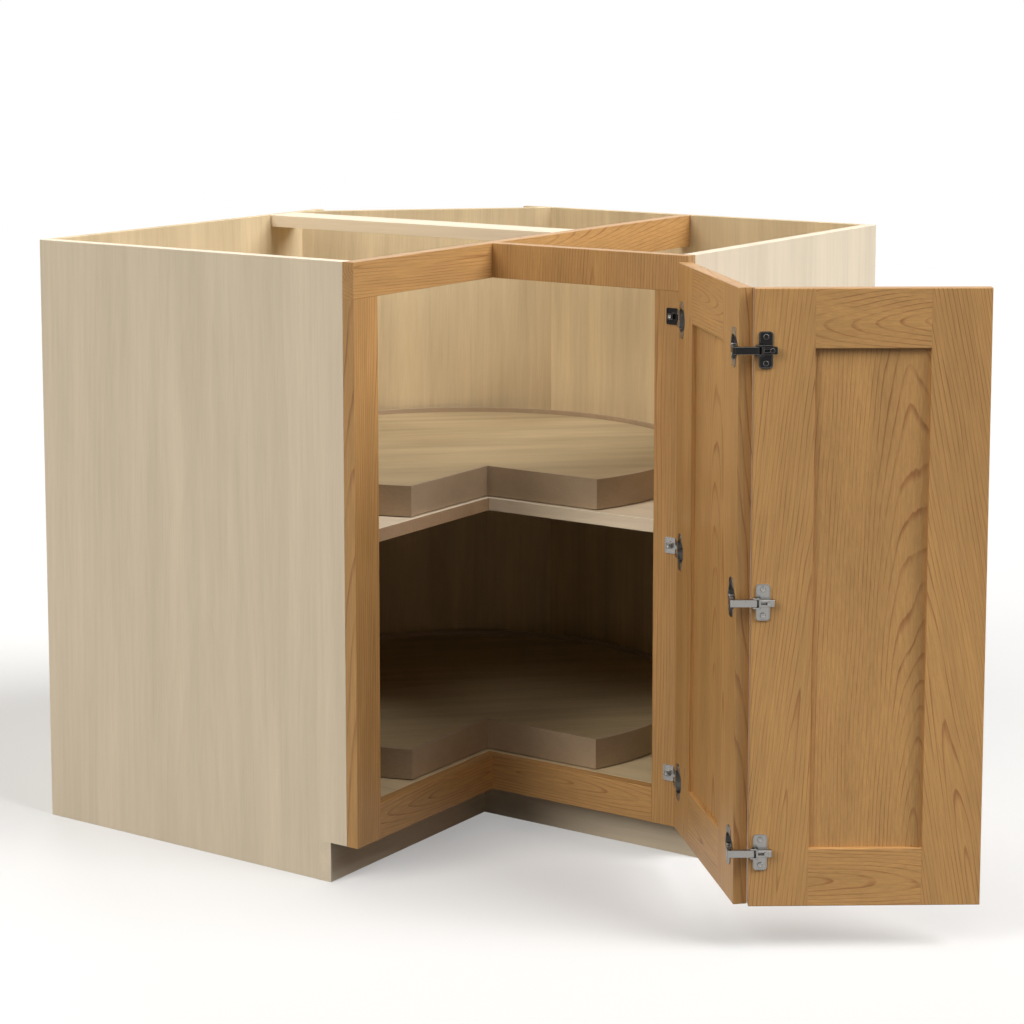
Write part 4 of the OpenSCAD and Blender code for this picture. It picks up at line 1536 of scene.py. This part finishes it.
@dataclass
class Studio:
    """Floor, light and camera."""

    floor_size: float = 14.0
    floor_seen: float = 0.55
    floor_unseen: float = 0.08
    floor_glow: float = 0.31
    sky: float = 0.06
    lamps: Sequence[Lamp] = (
        Lamp("key_high", 5, 50, 0.58),
        Lamp("key_low", 22, 28, 0.55),
        Lamp("front_low", -108, 28, 0.36, WARM),
        Lamp("front_high", -106, 50, 0.195, WARM),
        Lamp("side_low", -155, 8, 0.18, WARM),
        Lamp("door_fill", -60, 50, 0.09),
        Lamp("back_fill", 135, 12, 0.5, gleams=False),
        Lamp("overhead", 0, 90, 0.05))
    camera_at: Point = (2.6972, -3.6496, 1.2368)
    camera_yaw: float = 124.133
    camera_pitch: float = -6.962
    lens: float = 90.308
    shift_y: float = -0.2

    def build(self) -> None:
        """Builds the studio."""
        self.floor()
        self.world()
        for lamp in self.lamps:
            lamp.hang()
        self.camera()
        bpy.context.scene.view_settings.view_transform = "Standard"

    def floor(self) -> None:
        """Lays a plain white floor that keeps the object's shadow."""
        half = self.floor_size / 2 / MM
        floor = Workpiece.plate("floor", (-half, -half), (half, half), 0.0)
        made = bpy.data.materials.new("white_floor")
        made.use_nodes = True
        graph = Graph(made.node_tree)
        seen = self.seen(graph)
        level = graph.remap(seen, 0.0, 1.0, self.floor_unseen, self.floor_seen)
        paper = graph.add("BsdfDiffuse", {"Color": graph.grey(level)})
        glow = graph.add("Emission", {"Color": WHITE, "Strength": graph.math(
            "MULTIPLY", seen, self.floor_glow)})
        both = graph.add("AddShader", {0: paper.outputs[0], 1: glow.outputs[0]})
        graph.add("OutputMaterial", {"Surface": both.outputs[0]})
        floor.obj.data.materials.append(made)

    @staticmethod
    def seen(graph: Graph) -> bpy.types.NodeSocket:
        """Tells rays that show the background, straight or in metal, from rays of light."""
        ray = graph.add("LightPath").outputs
        return graph.math("MAXIMUM", ray["Is Camera Ray"], graph.math(
            "MAXIMUM", ray["Is Glossy Ray"], ray["Is Transmission Ray"]))

    def world(self) -> None:
        """Gives a faint light from all round, and a background that is white to look at."""
        world = bpy.data.worlds.new("studio")
        bpy.context.scene.world = world
        world.use_nodes = True
        graph = Graph(world.node_tree)
        soft = graph.add("Background", {"Color": (*WARM, 1.0), "Strength": self.sky})
        white = graph.add("Background", {"Color": WHITE, "Strength": 1.0})
        mixed = graph.add("MixShader", {0: self.seen(graph), 1: soft.outputs[0],
                                        2: white.outputs[0]})
        graph.add("OutputWorld", {"Surface": mixed.outputs[0]})

    def camera(self) -> None:
        """Sets the camera where the photograph was taken from."""
        bpy.ops.object.camera_add(location=self.camera_at, rotation=(
            math.radians(90 + self.camera_pitch), 0.0, math.radians(self.camera_yaw - 90)))
        camera = bpy.context.view_layer.objects.active
        camera.data.lens = self.lens
        camera.data.shift_y = self.shift_y
        bpy.context.scene.camera = camera


def main() -> None:
    """Builds the studio and every piece of the cabinet in order."""
    logging.basicConfig(level=logging.INFO, format="%(name)s: %(message)s")
    Studio().build()
    Carcass().build()
    FaceFrame().build()
    Tray("lower", Sawn(-40, 80, 0.03, 0.02, 900)).build()
    Tray("upper", Sawn(30, 60, 0.03, 0.03)).build()
    folding = Folding()
    Door(1, 313.85, folding.first, "hinge_stile", "fold_stile",
         cups=(20.5, 291.85), hinges=folding.hinges, figures={
             "hinge_stile": Sawn(20, 30, 0.03, 0.02),
             "fold_stile": Sawn(-26, 26, 0.03, -0.03, 700),
             "bottom_rail": Sawn(10, 20, 0.09, 0.0, 1200),
             "top_rail": Sawn(-6, 16, 0.10, 0.02, 1900),
             "panel": Sawn(30, 44, 0.05, 0.02, 2500)}).build()
    Door(2, 301.3, folding.second, "fold_stile", "free_stile", figures={
        "fold_stile": Sawn(36, 24, 0.04, 0.08, 3100),
        "free_stile": Sawn(-40, 26, 0.04, -0.17, 3900),
        "bottom_rail": Sawn(8, 20, 0.11, 0.0, 4600),
        "top_rail": Sawn(6, 34, -0.14, 0.02, 5200),
        "panel": Sawn(62, 40, 0.10, 0.0, 5900)}).build()
    Hardware(folding).build()


if __name__ == "__main__":
    main()
